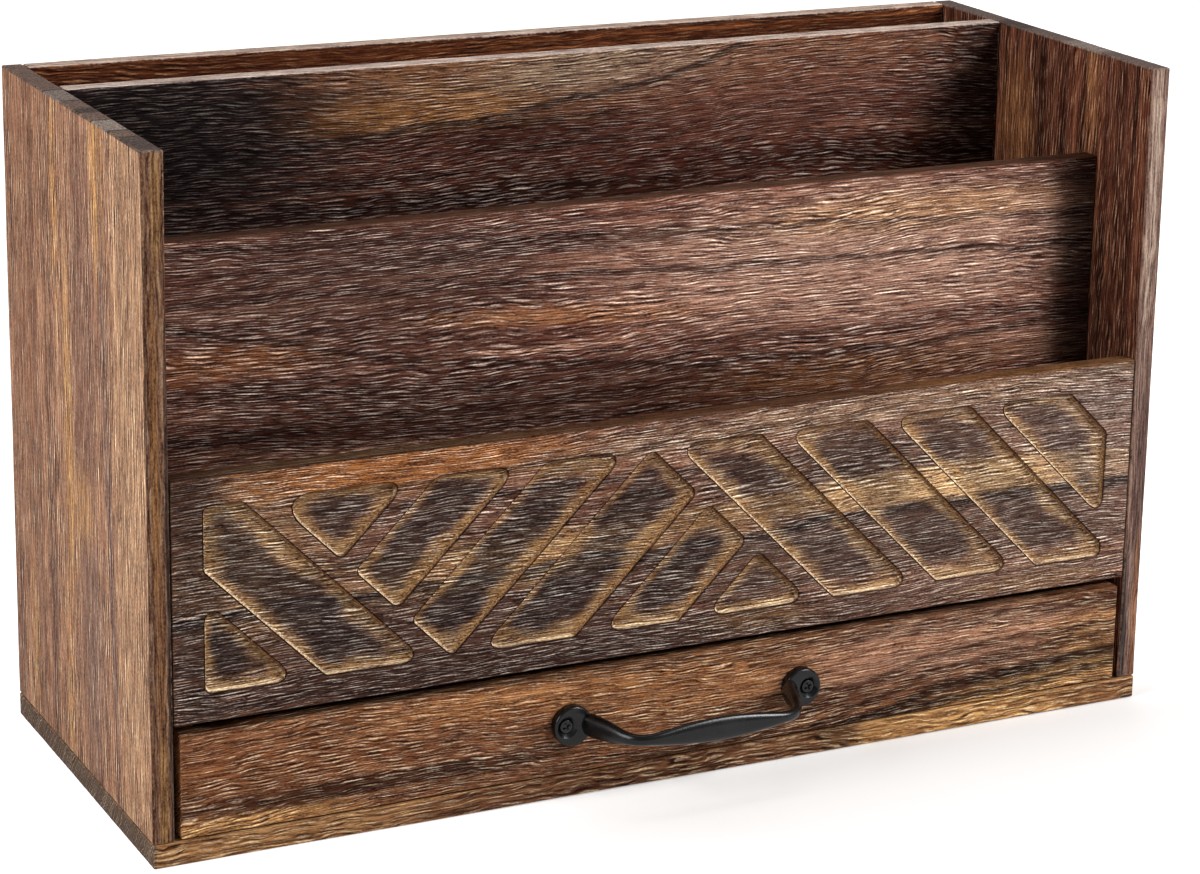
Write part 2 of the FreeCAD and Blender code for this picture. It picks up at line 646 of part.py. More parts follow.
def screw_blank(name, sign):
    """A countersunk screw without its recess: the head's rim, its cone and the shank."""
    wide = "(sizes.screw_head_diameter / 2)"
    narrow = "(sizes.screw_diameter / 2)"
    rim = round_solid(name + "_rim", "Cylinder", sign, HEAD_TOP, Radius=wide,
                      Height="sizes.screw_rim")
    cone = round_solid(name + "_head", "Cone", sign, HEAD_SINK, Radius1=wide, Radius2=narrow,
                       Height="%s - %s" % (wide, narrow))
    shank = round_solid(name + "_shank", "Cylinder", sign, HEAD_TOP, Radius=narrow,
                        Height="sizes.screw_length")
    blank = DOC.addObject("Part::MultiFuse", name + "_blank")
    blank.Shapes = [rim, cone, shank]
    return blank


def cross_recess(name, sign):
    """The two crossed slots in a screw's head."""
    slots = []
    for across, up in (("recess_length", "recess_width"), ("recess_width", "recess_length")):
        slot = DOC.addObject("Part::Box", "%s_slot_%s" % (name, across))
        slot.setExpression("Length", "sizes." + across)
        slot.setExpression("Width", "sizes.recess_depth")
        slot.setExpression("Height", "sizes." + up)
        move(slot, "sizes.pull_offset %s %s - sizes.%s / 2" % (sign, SCREW_X, across),
             "%s + %s" % (FOOT_FACE, HEAD_TOP), "%s - sizes.%s / 2" % (PULL_Z, up))
        slots.append(slot)
    recess = DOC.addObject("Part::MultiFuse", name + "_recess")
    recess.Shapes = slots
    return recess


def handle_screws():
    """The two screws that hold the pull."""
    screws = []
    for hand, sign in (("left", "-"), ("right", "+")):
        name = "%s_pull_screw" % hand
        screw = DOC.addObject("Part::Cut", name)
        screw.Base = screw_blank(name, sign)
        screw.Tool = cross_recess(name, sign)
        screws.append(screw)
    return group("handle_screws", screws)


def check(sub_parts):
    """Stop if any object of the document failed or any sub-part isn't a sound solid."""
    for thing in DOC.Objects:
        if "Invalid" in thing.State or "Error" in thing.State:
            raise RuntimeError("%s failed: %s" % (thing.Name, thing.State))
    for sub_part in sub_parts:
        shape = sub_part.Shape
        if shape.isNull() or not shape.isValid() or not shape.Solids:
            raise RuntimeError("%s has no valid shape" % sub_part.Label)


def main():
    """Build every sub-part and write it to its own file."""
    boards = cross_boards()
    base, left, right, base_spots, end_spots = base_and_walls(boards)
    panel = carve_panel(boards.pop("front_panel_blank")[0])
    box, corner_dowels = drawer_box()
    sub_parts = [base.body, left.body, right.body, panel]
    sub_parts += [board.body for board, spots, corner in boards.values()]
    sub_parts += [board.body for board in box]
    sub_parts += case_dowels(base_spots, end_spots)
    sub_parts += [corner_dowels, pull_handle(), handle_screws()]
    DOC.recompute()
    check(sub_parts)
    os.makedirs("parts", exist_ok=True)
    for sub_part in sub_parts:
        sub_part.Shape.exportStep("parts/%s.step" % sub_part.Label)
        print("%-20s %2d solids %9.0f mm3" % (sub_part.Label, len(sub_part.Shape.Solids),
                                              sub_part.Shape.Volume))


main()
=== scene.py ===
"""Envelope sorter with a drawer: torched and brushed wood, and a black iron pull."""
import logging
import math
from collections.abc import Callable, Iterator
from contextlib import contextmanager
from dataclasses import dataclass, field
from enum import Enum

import bmesh
import bpy
from mathutils import Matrix, Vector
from mathutils.kdtree import KDTree


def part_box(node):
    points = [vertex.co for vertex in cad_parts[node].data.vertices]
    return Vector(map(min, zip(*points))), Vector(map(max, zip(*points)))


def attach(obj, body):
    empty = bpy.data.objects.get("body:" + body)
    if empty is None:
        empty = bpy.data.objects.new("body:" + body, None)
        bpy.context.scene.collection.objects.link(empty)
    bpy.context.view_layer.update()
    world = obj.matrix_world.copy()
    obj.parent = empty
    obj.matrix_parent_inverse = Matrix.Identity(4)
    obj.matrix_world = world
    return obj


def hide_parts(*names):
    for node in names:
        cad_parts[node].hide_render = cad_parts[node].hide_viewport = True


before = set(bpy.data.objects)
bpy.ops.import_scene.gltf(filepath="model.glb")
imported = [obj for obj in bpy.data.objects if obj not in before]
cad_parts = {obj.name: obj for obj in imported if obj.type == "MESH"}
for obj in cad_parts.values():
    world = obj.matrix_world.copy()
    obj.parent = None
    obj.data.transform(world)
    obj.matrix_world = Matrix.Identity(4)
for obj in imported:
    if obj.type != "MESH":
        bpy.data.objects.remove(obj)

LOG = logging.getLogger("envelope_sorter")
MM = 0.001
PER_METRE = 1000.0
CLOSE = MM / 10
EXACT = MM / 100
TOUCHING = 1e-6
WHOLE_BOARD = 1000.0
Point = tuple[float, float, float]
Gap = tuple[float, float, float, float]
Socket = bpy.types.NodeSocket
Piece = bpy.types.Object


# ---------------------------------------------------------------- shader nodes

class NodeDesk:
    """Adds and joins the nodes of one tree."""

    def __init__(self, tree: bpy.types.NodeTree) -> None:
        """Start on a tree.

        Args:
            tree: the material's or the group's node tree.
        """
        self.tree = tree

    def add(self, kind: str, **settings: object) -> bpy.types.Node:
        """Add a node and set its properties.

        Args:
            kind: the node's type without its Shader prefix where it has one.
            settings: properties of the node.

        Returns:
            The new node.
        """
        node = self.tree.nodes.new(kind)
        for name, value in settings.items():
            setattr(node, name, value)
        return node

    def feed(self, socket: Socket, source: object) -> None:
        """Give a socket its source.

        Args:
            socket: the input to fill.
            source: a socket to join to it, a plain value to set it to, or None to leave it.
        """
        if isinstance(source, Socket):
            self.tree.links.new(source, socket)
        elif source is not None:
            socket.default_value = source

    def reckon(self, operation: str, *terms: object, clamp: bool = False) -> Socket:
        """A Math node.

        Args:
            operation: the node's operation.
            terms: its inputs, sockets or numbers.
            clamp: whether the result is kept from 0 to 1.

        Returns:
            The result's socket.
        """
        node = self.add("ShaderNodeMath", operation=operation, use_clamp=clamp)
        for socket, term in zip(node.inputs, terms):
            self.feed(socket, term)
        return node.outputs[0]

    def times(self, first: object, second: object, clamp: bool = False) -> Socket:
        """The product of two values."""
        return self.reckon("MULTIPLY", first, second, clamp=clamp)

    def plus(self, first: object, second: object) -> Socket:
        """The sum of two values."""
        return self.reckon("ADD", first, second)

    def minus(self, first: object, second: object) -> Socket:
        """One value less another."""
        return self.reckon("SUBTRACT", first, second)

    def line(self, value: object, slope: object, start: object) -> Socket:
        """A value times a slope, plus a start."""
        return self.reckon("MULTIPLY_ADD", value, slope, start)

    def larger(self, first: object, second: object) -> Socket:
        """The larger of two values."""
        return self.reckon("MAXIMUM", first, second)

    def vector(self, operation: str, *terms: object) -> Socket:
        """A Vector Math node; its result is a vector, or a value for LENGTH.

        Args:
            operation: the node's operation.
            terms: its inputs, sockets or vectors.

        Returns:
            The result's socket.
        """
        node = self.add("ShaderNodeVectorMath", operation=operation)
        for socket, term in zip(node.inputs, terms):
            self.feed(socket, term)
        return node.outputs["Value" if operation == "LENGTH" else "Vector"]

    def split(self, vector: object) -> tuple:
        """Take a vector apart.

        Args:
            vector: the vector's socket.

        Returns:
            Its three values' sockets.
        """
        node = self.add("ShaderNodeSeparateXYZ")
        self.feed(node.inputs[0], vector)
        return tuple(node.outputs)

    def pack(self, *values: object) -> Socket:
        """Put a vector together.

        Args:
            values: its three values.

        Returns:
            The vector's socket.
        """
        node = self.add("ShaderNodeCombineXYZ")
        for socket, value in zip(node.inputs, values):
            self.feed(socket, value)
        return node.outputs[0]

    def step(self, value: object, low: object, high: object) -> Socket:
        """A smooth step.

        Args:
            value: what it is read at.
            low: where it is 0; it may be greater than high.
            high: where it is 1.

        Returns:
            The step's socket.
        """
        node = self.add("ShaderNodeMapRange", interpolation_type="SMOOTHSTEP")
        for name, source in (("Value", value), ("From Min", low), ("From Max", high)):
            self.feed(node.inputs[name], source)
        return node.outputs["Result"]

    def noise(self, place: object, detail: float = 2.0, roughness: float = 0.55) -> Socket:
        """Noise with features about one unit across.

        Args:
            place: the vector that it is read at.
            detail: how many finer octaves it has.
            roughness: how strong they are.

        Returns:
            The value's socket, about 0.5 on average.
        """
        node = self.add("ShaderNodeTexNoise")
        self.feed(node.inputs["Vector"], place)
        node.inputs["Scale"].default_value = 1.0
        node.inputs["Detail"].default_value = detail
        node.inputs["Roughness"].default_value = roughness
        return node.outputs["Fac"]

    def streaks(self, place: object, along: float, across: float, detail: float = 2.0,
                roughness: float = 0.55) -> Socket:
        """Noise that is drawn out along the grain.

        Args:
            place: the board's place in millimetres: along, across and through.
            along: how many features it has in a millimetre along the grain.
            across: the same across the grain and through the board.
            detail: how many finer octaves it has.
            roughness: how strong they are.

        Returns:
            The value's socket, about 0.5 on average.
        """
        stretched = self.vector("MULTIPLY", place, (along, across, across))
        return self.noise(stretched, detail, roughness)

    def chance(self, place: object) -> tuple:
        """Three random values from 0 to 1.

        Args:
            place: what they hang on; the same place gives the same values.

        Returns:
            The values' sockets.
        """
        node = self.add("ShaderNodeTexWhiteNoise", noise_dimensions="3D")
        self.feed(node.inputs["Vector"], place)
        return self.split(node.outputs["Color"])

    def mix(self, share: object, first: object, second: object,
            blend: str = "MIX") -> Socket:
        """Mix two colours.

        Args:
            share: how much of the second shows.
            first: the colour below.
            second: the colour on top.
            blend: the blend type.

        Returns:
            The mixed colour's socket.
        """
        node = self.add("ShaderNodeMix", data_type="RGBA", blend_type=blend)
        self.feed(node.inputs[0], share)
        self.feed(node.inputs[6], first)
        self.feed(node.inputs[7], second)
        return node.outputs[2]

    def use(self, group: bpy.types.NodeTree, **values: object) -> dict:
        """Place a node group.

        Args:
            group: the group's tree.
            values: a source for each input, its name with spaces as underscores.

        Returns:
            The outputs' sockets by name.
        """
        node = self.add("ShaderNodeGroup", node_tree=group)
        for name, value in values.items():
            self.feed(node.inputs[name.replace("_", " ")], value)
        return {socket.name: socket for socket in node.outputs}


def tone(code: str) -> tuple[float, float, float, float]:
    """A colour in linear light.

    Args:
        code: the colour, written as #rrggbb.

    Returns:
        Its red, green, blue and alpha.
    """
    parts = [int(code[i:i + 2], 16) / 255 for i in (1, 3, 5)]
    line = [part / 12.92 if part <= 0.04045 else ((part + 0.055) / 1.055) ** 2.4
            for part in parts]
    return line[0], line[1], line[2], 1.0


def new_group(name: str, inputs: dict[str, str], outputs: dict[str, str]) -> tuple:
    """Start a shader node group.

    Args:
        name: the group's name.
        inputs: each input's kind, Float, Vector or Color, by its name.
        outputs: the same for the outputs.

    Returns:
        The tree, its desk, the group input node's outputs and the group output node's inputs.
    """
    tree = bpy.data.node_groups.new(name, "ShaderNodeTree")
    for side, sockets in (("INPUT", inputs), ("OUTPUT", outputs)):
        for label, kind in sockets.items():
            tree.interface.new_socket(label, in_out=side, socket_type="NodeSocket" + kind)
    desk = NodeDesk(tree)
    return tree, desk, desk.add("NodeGroupInput").outputs, desk.add("NodeGroupOutput").inputs


def make_sway_group() -> bpy.types.NodeTree:
    """The bending of the grain: a board's place with its fibres drawn straight.

    Returns:
        The group.
    """
    tree, desk, given, result = new_group(
        "grain_sway", {"Place": "Vector", "Seed": "Float", "Sway": "Float"},
        {"Place": "Vector"})
    shift = desk.vector("SCALE", (37.0, 17.0, 7.0))
    desk.feed(shift.node.inputs["Scale"], given["Seed"])
    seeded = desk.vector("ADD", given["Place"], shift)
    slow = desk.streaks(seeded, 0.006, 0.018, 1.0)
    quick = desk.streaks(seeded, 0.05, 0.11, 1.0)
    bend = desk.times(desk.minus(slow, 0.5), given["Sway"])
    bend = desk.times(bend, 2.0)
    wiggle = desk.line(quick, 1.6, -0.8)
    drift = desk.plus(bend, wiggle)
    desk.feed(result["Place"], desk.vector("ADD", seeded, desk.pack(0.0, drift, drift)))
    return tree


def make_fibre_group() -> bpy.types.NodeTree:
    """What the brush leaves: pale dashes, partly pale pores and partly painted glints of the
    varnish, dark threads, hair-fine grain and their relief.

    Returns:
        The group.
    """
    tree, desk, given, result = new_group(
        "brushed_fibres", {"Place": "Vector", "Curl": "Float", "Fineness": "Float"},
        {"Dashes": "Float", "Threads": "Float", "Hair": "Float", "Mottle": "Float",
         "Grit": "Float", "Relief": "Float"})
    ripple = desk.streaks(given["Place"], 0.07, 0.25)
    ripple = desk.times(desk.minus(ripple, 0.5), given["Curl"])
    wavy = desk.vector("ADD", given["Place"], desk.pack(0.0, ripple, ripple))
    fine = desk.vector("MULTIPLY", wavy, desk.pack(1.0, given["Fineness"], given["Fineness"]))
    zones = desk.streaks(wavy, 0.02, 0.08, 2.0, 0.6)
    stray = desk.streaks(fine, 0.04, 0.25, 1.0)
    along, across, through = desk.split(fine)
    level = desk.line(through, 0.7, across)

    def fold(value: object) -> Socket:
        """0 in the middle of every whole step, 1 where two steps meet."""
        return desk.reckon("ABSOLUTE", desk.line(desk.reckon("FRACT", value), 2.0, -1.0))

    def lines(spacing: float, length: float, salt: float) -> tuple:
        """Rows of ridges, and the valleys between them, broken at random into dashes.

        Args:
            spacing: from one ridge to the next, in millimetres.
            length: of the stretch of a row that holds one dash.
            salt: a number of its own, so that two sets of rows differ.

        Returns:
            The sockets of the ridges and of the valleys.
        """
        phase = desk.line(stray, 0.9, desk.reckon("DIVIDE", level, spacing))
        row = desk.reckon("FLOOR", phase)
        shift = desk.chance(desk.pack(row, salt, 0.5))[0]
        run = desk.line(shift, 9.0, desk.reckon("DIVIDE", along, length))
        lot, strength, reach = desk.chance(desk.pack(row, desk.reckon("FLOOR", run), salt))
        lot = desk.line(desk.minus(zones, 0.5), 1.2, lot)
        reach = desk.times(reach, 0.35)
        ends = desk.step(fold(run), desk.minus(0.98, reach), desk.minus(0.65, reach))
        wave = fold(phase)
        taper = desk.line(fold(run), 0.3, wave)
        ridge = desk.times(desk.step(taper, 0.5, 0.14), desk.step(lot, 0.06, 0.3))
        valley = desk.times(desk.step(wave, 0.5, 0.9), desk.step(lot, 0.2, 0.4))
        ridge = desk.times(ridge, desk.line(strength, 0.7, 0.3))
        return desk.times(ridge, ends), desk.times(valley, ends)

    wide_ridges, wide_valleys = lines(spacing=1.7, length=15.0, salt=3.0)
    fine_ridges, fine_valleys = lines(spacing=1.05, length=9.0, salt=8.0)
    bold = desk.step(zones, 0.36, 0.6)
    # painted highlight: the pale dashes stand for pale pores and for the varnish's glints on the
    # brushed ridges
    dashes = desk.times(wide_ridges, desk.line(bold, 0.55, 0.45))
    dashes = desk.larger(dashes, desk.times(fine_ridges, 0.6))
    threads = desk.times(wide_valleys, desk.line(bold, 0.6, 0.4))
    threads = desk.larger(threads, desk.times(fine_valleys, 0.5))
    hair = desk.step(desk.streaks(fine, 0.055, 1.6, 2.0, 0.7), 0.36, 0.64)
    mottle = desk.streaks(wavy, 0.085, 0.24, 3.0, 0.6)
    grit = desk.streaks(fine, 0.9, 2.3, 1.0, 0.6)
    relief = desk.line(dashes, 0.6, desk.times(grit, 0.3))
    relief = desk.line(threads, -0.5, relief)
    for name, value in (("Dashes", dashes), ("Threads", threads), ("Hair", hair),
                        ("Mottle", mottle), ("Grit", grit), ("Relief", relief)):
        desk.feed(result[name], value)
    return tree


def make_patch_group() -> bpy.types.NodeTree:
    """A patch of a face, round or square, whose edge runs out in streaks along the grain.

    Returns:
        The group.
    """
    tree, desk, given, result = new_group(
        "grain_patch", {"Place": "Vector", "Centre": "Vector", "Share Of Reach": "Vector",
                        "Tilt": "Float", "Soft": "Float", "Ragged": "Float",
                        "Square": "Float"},
        {"Mask": "Float"})
    along, across, through = desk.split(desk.vector("SUBTRACT", given["Place"], given["Centre"]))
    level = desk.minus(across, desk.times(along, given["Tilt"]))
    scaled = desk.vector("MULTIPLY", desk.pack(along, level, through), given["Share Of Reach"])
    oval = desk.vector("LENGTH", scaled)
    sides = [desk.reckon("ABSOLUTE", side) for side in desk.split(scaled)]
    box = desk.larger(desk.larger(sides[0], sides[1]), sides[2])
    reach = desk.line(desk.minus(box, oval), given["Square"], oval)
    tear = desk.streaks(given["Place"], 0.06, 0.55, 2.0, 0.6)
    tear = desk.times(desk.minus(tear, 0.5), given["Ragged"])
    edge = desk.plus(reach, tear)
    mask = desk.step(edge, desk.plus(1.0, given["Soft"]), desk.minus(1.0, given["Soft"]))
    desk.feed(result["Mask"], mask)
    return tree


def make_ring_group() -> bpy.types.NodeTree:
    """One dark growth ring that crosses a face on a curve, and the side above it.

    Returns:
        The group.
    """
    tree, desk, given, result = new_group(
        "growth_ring", {"Place": "Vector", "Along": "Float", "Across": "Float",
                        "Slope": "Float", "Bend": "Float", "Twist": "Float",
                        "Width": "Float"},
        {"Line": "Float", "Above": "Float"})
    along, across, through = desk.split(given["Place"])
    run = desk.minus(along, given["Along"])
    curve = desk.line(run, given["Twist"], given["Bend"])
    curve = desk.line(run, curve, given["Slope"])
    level = desk.line(run, curve, given["Across"])
    stray = desk.streaks(given["Place"], 0.03, 0.02, 3.0, 0.5)
    level = desk.plus(level, desk.line(stray, 8.0, -4.0))
    gap = desk.reckon("DIVIDE", desk.minus(across, level), given["Width"])
    under = desk.step(gap, -3.0, 0.0)
    over = desk.step(gap, 1.0, 0.0)
    desk.feed(result["Line"], desk.times(under, over))
    desk.feed(result["Above"], desk.step(gap, -0.2, 1.0))
    return tree


def make_arris_group() -> bpy.types.NodeTree:
    """Nearness to a board's edges, from the distances to its faces.

    Returns:
        The group.
    """
    tree, desk, given, result = new_group(
        "arris_wear_and_sheen", {"Place": "Vector", "Centre": "Vector", "Half": "Vector",
                       "Width": "Float"},
        {"Mask": "Float"})
    away = desk.vector("ABSOLUTE", desk.vector("SUBTRACT", given["Place"], given["Centre"]))
    inward = desk.split(desk.vector("SUBTRACT", given["Half"], away))
    total = desk.plus(desk.plus(inward[0], inward[1]), inward[2])
    largest = desk.larger(desk.larger(inward[0], inward[1]), inward[2])
    nearness = desk.minus(total, largest)
    chips = desk.streaks(given["Place"], 0.5, 0.5, 3.0, 0.65)
    reach = desk.times(given["Width"], desk.line(chips, 2.4, -0.2))
    desk.feed(result["Mask"], desk.step(nearness, reach, desk.times(reach, 0.3)))
    return tree


@dataclass
class Groups:
    """The shared node groups, each built once."""

    sway: bpy.types.NodeTree = field(default_factory=make_sway_group)
    fibres: bpy.types.NodeTree = field(default_factory=make_fibre_group)
    patch: bpy.types.NodeTree = field(default_factory=make_patch_group)
    ring: bpy.types.NodeTree = field(default_factory=make_ring_group)
    arris: bpy.types.NodeTree = field(default_factory=make_arris_group)
    carved: bpy.types.NodeTree = field(default_factory=lambda: make_carved_group(RibLayout()))


# ---------------------------------------------------------------- finishes

class Grain(Enum):
    """Which axes run along the grain, across it on the face, and through the board."""

    LEVEL = (0, 2, 1)
    UPRIGHT = (2, 1, 0)
    FLAT = (0, 1, 2)
    DEEP = (1, 2, 0)

    def turn(self, values: object) -> list:
        """Three values by axis, put in the order along, across, through."""
        return [values[axis] for axis in self.value]


class Shape(Enum):
    """The outline of a patch."""

    OVAL = 0.0
    SQUARE = 1.0


@dataclass(frozen=True)
class Patch:
    """A patch of another tone, in millimetres along, across and through the board."""

    colour: str
    along: float
    across: float
    half_along: float
    half_across: float
    share: float = 0.7
    soft: float = 0.55
    ragged: float = 1.0
    tilt: float = 0.0
    shape: Shape = Shape.OVAL
    through: float = 0.0
    half_through: float = WHOLE_BOARD

    def mask(self, desk: NodeDesk, groups: Groups, place: object) -> Socket:
        """The patch's mask.

        Args:
            desk: the material's desk.
            groups: the shared node groups.
            place: the board's place in millimetres.

        Returns:
            The mask's socket, times the patch's share.
        """
        half = (self.half_along, self.half_across, self.half_through)
        outputs = desk.use(groups.patch, Place=place,
                           Centre=(self.along, self.across, self.through),
                           Share_Of_Reach=tuple(1 / size for size in half), Tilt=self.tilt,
                           Soft=self.soft, Ragged=self.ragged, Square=self.shape.value)
        return desk.times(outputs["Mask"], self.share)


@dataclass(frozen=True)
class Ring:
    """A dark growth ring across a face, and the tone of the wood above it."""

    colour: str
    along: float
    across: float
    slope: float = 0.0
    bend: float = 0.0
    twist: float = 0.0
    width: float = 1.0
    share: float = 0.8


@dataclass(frozen=True)
class TorchedWood:
    """Wood that was scorched, brushed along the grain and sealed with a satin varnish; its pale
    dashes are partly pale pores and partly painted glints of the varnish on the ridges.
    """

    name: str
    slot: str
    grain: Grain
    light: str
    middle: str
    dark: str
    # the pale tone of the dashes: pale pores, and painted glints of the varnish
    pore_and_glint: str
    seed: float
    sway: float = 7.0
    pitch: float = 9.0
    curl: float = 1.2
    fineness: float = 1.0
    dashes: float = 0.85
    glint_lift: float = 2.8
    threads: float = 0.8
    thread: str = "#5e433a"
    hair: float = 1.0
    mottle: float = 0.3
    scorch: str = "#967a6f"
    grit: float = 0.16
    gloss: float = 0.04
    patches: tuple[Patch, ...] = ()
    over: tuple[Patch, ...] = ()
    rings: tuple[Ring, ...] = ()
    arris: str = "#8a6244"
    arris_share: float = 0.5
    arris_width: float = 1.1
    roughness: float = 0.5
    relief: float = 0.35
    relief_depth: float = 0.5 * MM
    to_middle: tuple[float, float] = (0.3, 0.52)
    to_light: tuple[float, float] = (0.5, 0.72)
    band_stretch: float = 0.0028
    glint_tint: Point = (1.0, 1.18, 1.2)
    pore_and_glint_share: float = 0.42
    thread_shade: float = 0.2
    rough_mottle: float = 0.25
    rough_dash: float = 0.1

    def material(self, groups: Groups, low: Vector, high: Vector) -> bpy.types.Material:
        """Build the finish for one board.

        Args:
            groups: the shared node groups.
            low: the board's lowest corner, in metres.
            high: its highest corner.

        Returns:
            The material.
        """
        material = bpy.data.materials.new(self.name)
        material.use_nodes = True
        desk = NodeDesk(material.node_tree)
        shader = material.node_tree.nodes["Principled BSDF"]
        found = desk.add("ShaderNodeTexCoord").outputs["Object"]
        axes = desk.split(desk.vector("MULTIPLY", found, (PER_METRE,) * 3))
        place = desk.pack(*self.grain.turn(axes))
        straight = desk.use(groups.sway, Place=place, Seed=self.seed, Sway=self.sway)["Place"]
        fibres = desk.use(groups.fibres, Place=straight, Curl=self.curl, Fineness=self.fineness)

        band = desk.streaks(straight, self.band_stretch, 1 / self.pitch, 3.0, 0.6)
        colour = desk.mix(desk.step(band, *self.to_middle), tone(self.dark), tone(self.middle))
        colour = desk.mix(desk.step(band, *self.to_light), colour, tone(self.light))
        for patch in self.patches:
            colour = desk.mix(patch.mask(desk, groups, place), colour, tone(patch.colour))
        for ring in self.rings:
            made = desk.use(groups.ring, Place=place, Along=ring.along, Across=ring.across,
                            Slope=ring.slope, Bend=ring.bend, Twist=ring.twist,
                            Width=ring.width)
            colour = desk.mix(desk.times(made["Line"], ring.share), colour, tone(ring.colour))
        colour, cover = self.burn(desk, groups, place, colour)

        scorch = desk.step(fibres["Mottle"], 0.6, 0.36)
        colour = desk.mix(desk.times(scorch, self.mottle), colour,
                          desk.mix(1.0, colour, tone(self.scorch), "MULTIPLY"))
        threads = desk.times(fibres["Threads"], cover)
        colour = desk.mix(desk.times(threads, self.threads), colour,
                          desk.mix(1.0, colour, tone(self.thread), "MULTIPLY"))
        grit = desk.step(fibres["Grit"], 0.3, 0.7)
        # painted highlight: the pale dashes, partly pale pores and partly painted glints on the
        # brushed ridges
        lit = desk.times(fibres["Dashes"], desk.line(grit, 0.5, 0.8))
        lit = desk.times(lit, cover)
        glint_colour = desk.vector("MULTIPLY", colour,
                             tuple(part * self.glint_lift for part in self.glint_tint))
        colour = desk.mix(desk.times(lit, self.dashes, clamp=True), colour,
                          desk.mix(self.pore_and_glint_share, glint_colour, tone(self.pore_and_glint)))
        for patch in self.over:
            colour = desk.mix(patch.mask(desk, groups, place), colour, tone(patch.colour))
        speckle = desk.line(grit, 2 * self.grit, 1.0 - self.grit)
        speckle = desk.line(threads, -self.thread_shade, speckle)
        hair = desk.minus(fibres["Hair"], 0.5)
        speckle = desk.line(hair, self.hair, speckle)
        cooler = desk.times(speckle, desk.line(speckle, 0.18, 0.82))
        colour = desk.vector("MULTIPLY", colour, desk.pack(speckle, cooler, cooler))
        half, centre = (tuple(PER_METRE * value for value in self.grain.turn(corner / 2))
                        for corner in (high - low, high + low))
        # edge wear; on the back panel and the rear divider its pale tone is also painted sheen
        worn_and_sheen = desk.use(groups.arris, Place=place, Centre=centre, Half=half,
                        Width=self.arris_width)["Mask"]
        colour = desk.mix(desk.times(worn_and_sheen, self.arris_share), colour, tone(self.arris))
        desk.feed(shader.inputs["Base Color"], colour)

        rough = desk.line(fibres["Mottle"], self.rough_mottle, self.roughness - 0.12)
        rough = desk.line(fibres["Dashes"], -self.rough_dash, rough)
        desk.feed(shader.inputs["Roughness"], rough)
        shader.inputs["Specular IOR Level"].default_value = self.gloss
        bump = desk.add("ShaderNodeBump")
        bump.inputs["Strength"].default_value = self.relief
        bump.inputs["Distance"].default_value = self.relief_depth
        desk.feed(bump.inputs["Height"], fibres["Relief"])
        desk.feed(shader.inputs["Normal"], bump.outputs[0])
        return material

    def burn(self, desk: NodeDesk, groups: Groups, place: object, colour: object) -> tuple:
        """A finish's own scorching below its fibres; a plain board has none.

        Args:
            desk: the material's desk.
            groups: the shared node groups.
            place: the board's place in millimetres.
            colour: the wood's colour so far.

        Returns:
            The colour, and how strongly the fibres show on it.
        """
        return colour, 1.0


@dataclass(frozen=True)
class RibLayout:
    """The carved field of the front panel and the straight ribs that cross it."""

    node: str = "front_panel"
    side_margin: float = 11.5 * MM
    edge_margin: float = 10.5 * MM
    rib: float = 7.2 * MM
    falling_feet: tuple[float, ...] = (-142 * MM, -95 * MM)
    falling_first: float = 58 * MM
    falling_pitch: float = 44.2 * MM
    falling_count: int = 6
    rising_first: float = -167.5 * MM
    rising_pitch: float = 41.5 * MM
    rising_count: int = 5
    wide_extra: float = 5.5 * MM
    wide_after: int = 2
    far: float = 2.0

    def field(self) -> tuple[Vector, Vector]:
        """The carved field.

        Returns:
            Its lowest and highest corners.
        """
        low, high = (Vector(corner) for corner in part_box(self.node))
        margin = Vector((self.side_margin, 0, self.edge_margin))
        return low + margin, high - margin

    def falling(self) -> list[float]:
        """Where the ribs that fall to the right meet the field's foot."""
        return [*self.falling_feet, *(self.falling_first + i * self.falling_pitch
                                      for i in range(self.falling_count))]

    def rising(self) -> list[float]:
        """The same for the ribs that rise to the right, between two falling ones.

        Returns:
            Their places along the foot, from left to right.
        """
        return [self.rising_first + i * self.rising_pitch
                + (self.wide_extra if i > self.wide_after else 0.0)
                for i in range(self.rising_count)]

    def crossed(self) -> tuple[float, float]:
        """The feet of the two falling ribs that the rising ribs lie between."""
        return self.falling_feet[-1], self.falling_first

    def gaps(self) -> list[Gap]:
        """The limits of each gap between ribs.

        Returns:
            For each gap, where its falling and then its rising sides meet the field's foot.
        """
        falling = [-self.far, *self.falling()]
        rising = [-self.far, *self.rising(), self.far]
        made = []
        for low, high in zip(falling, falling[1:]):
            if (low, high) == self.crossed():
                made += [(low, high, left, right) for left, right in zip(rising, rising[1:])]
            else:
                made.append((low, high, -self.far, self.far))
        return made


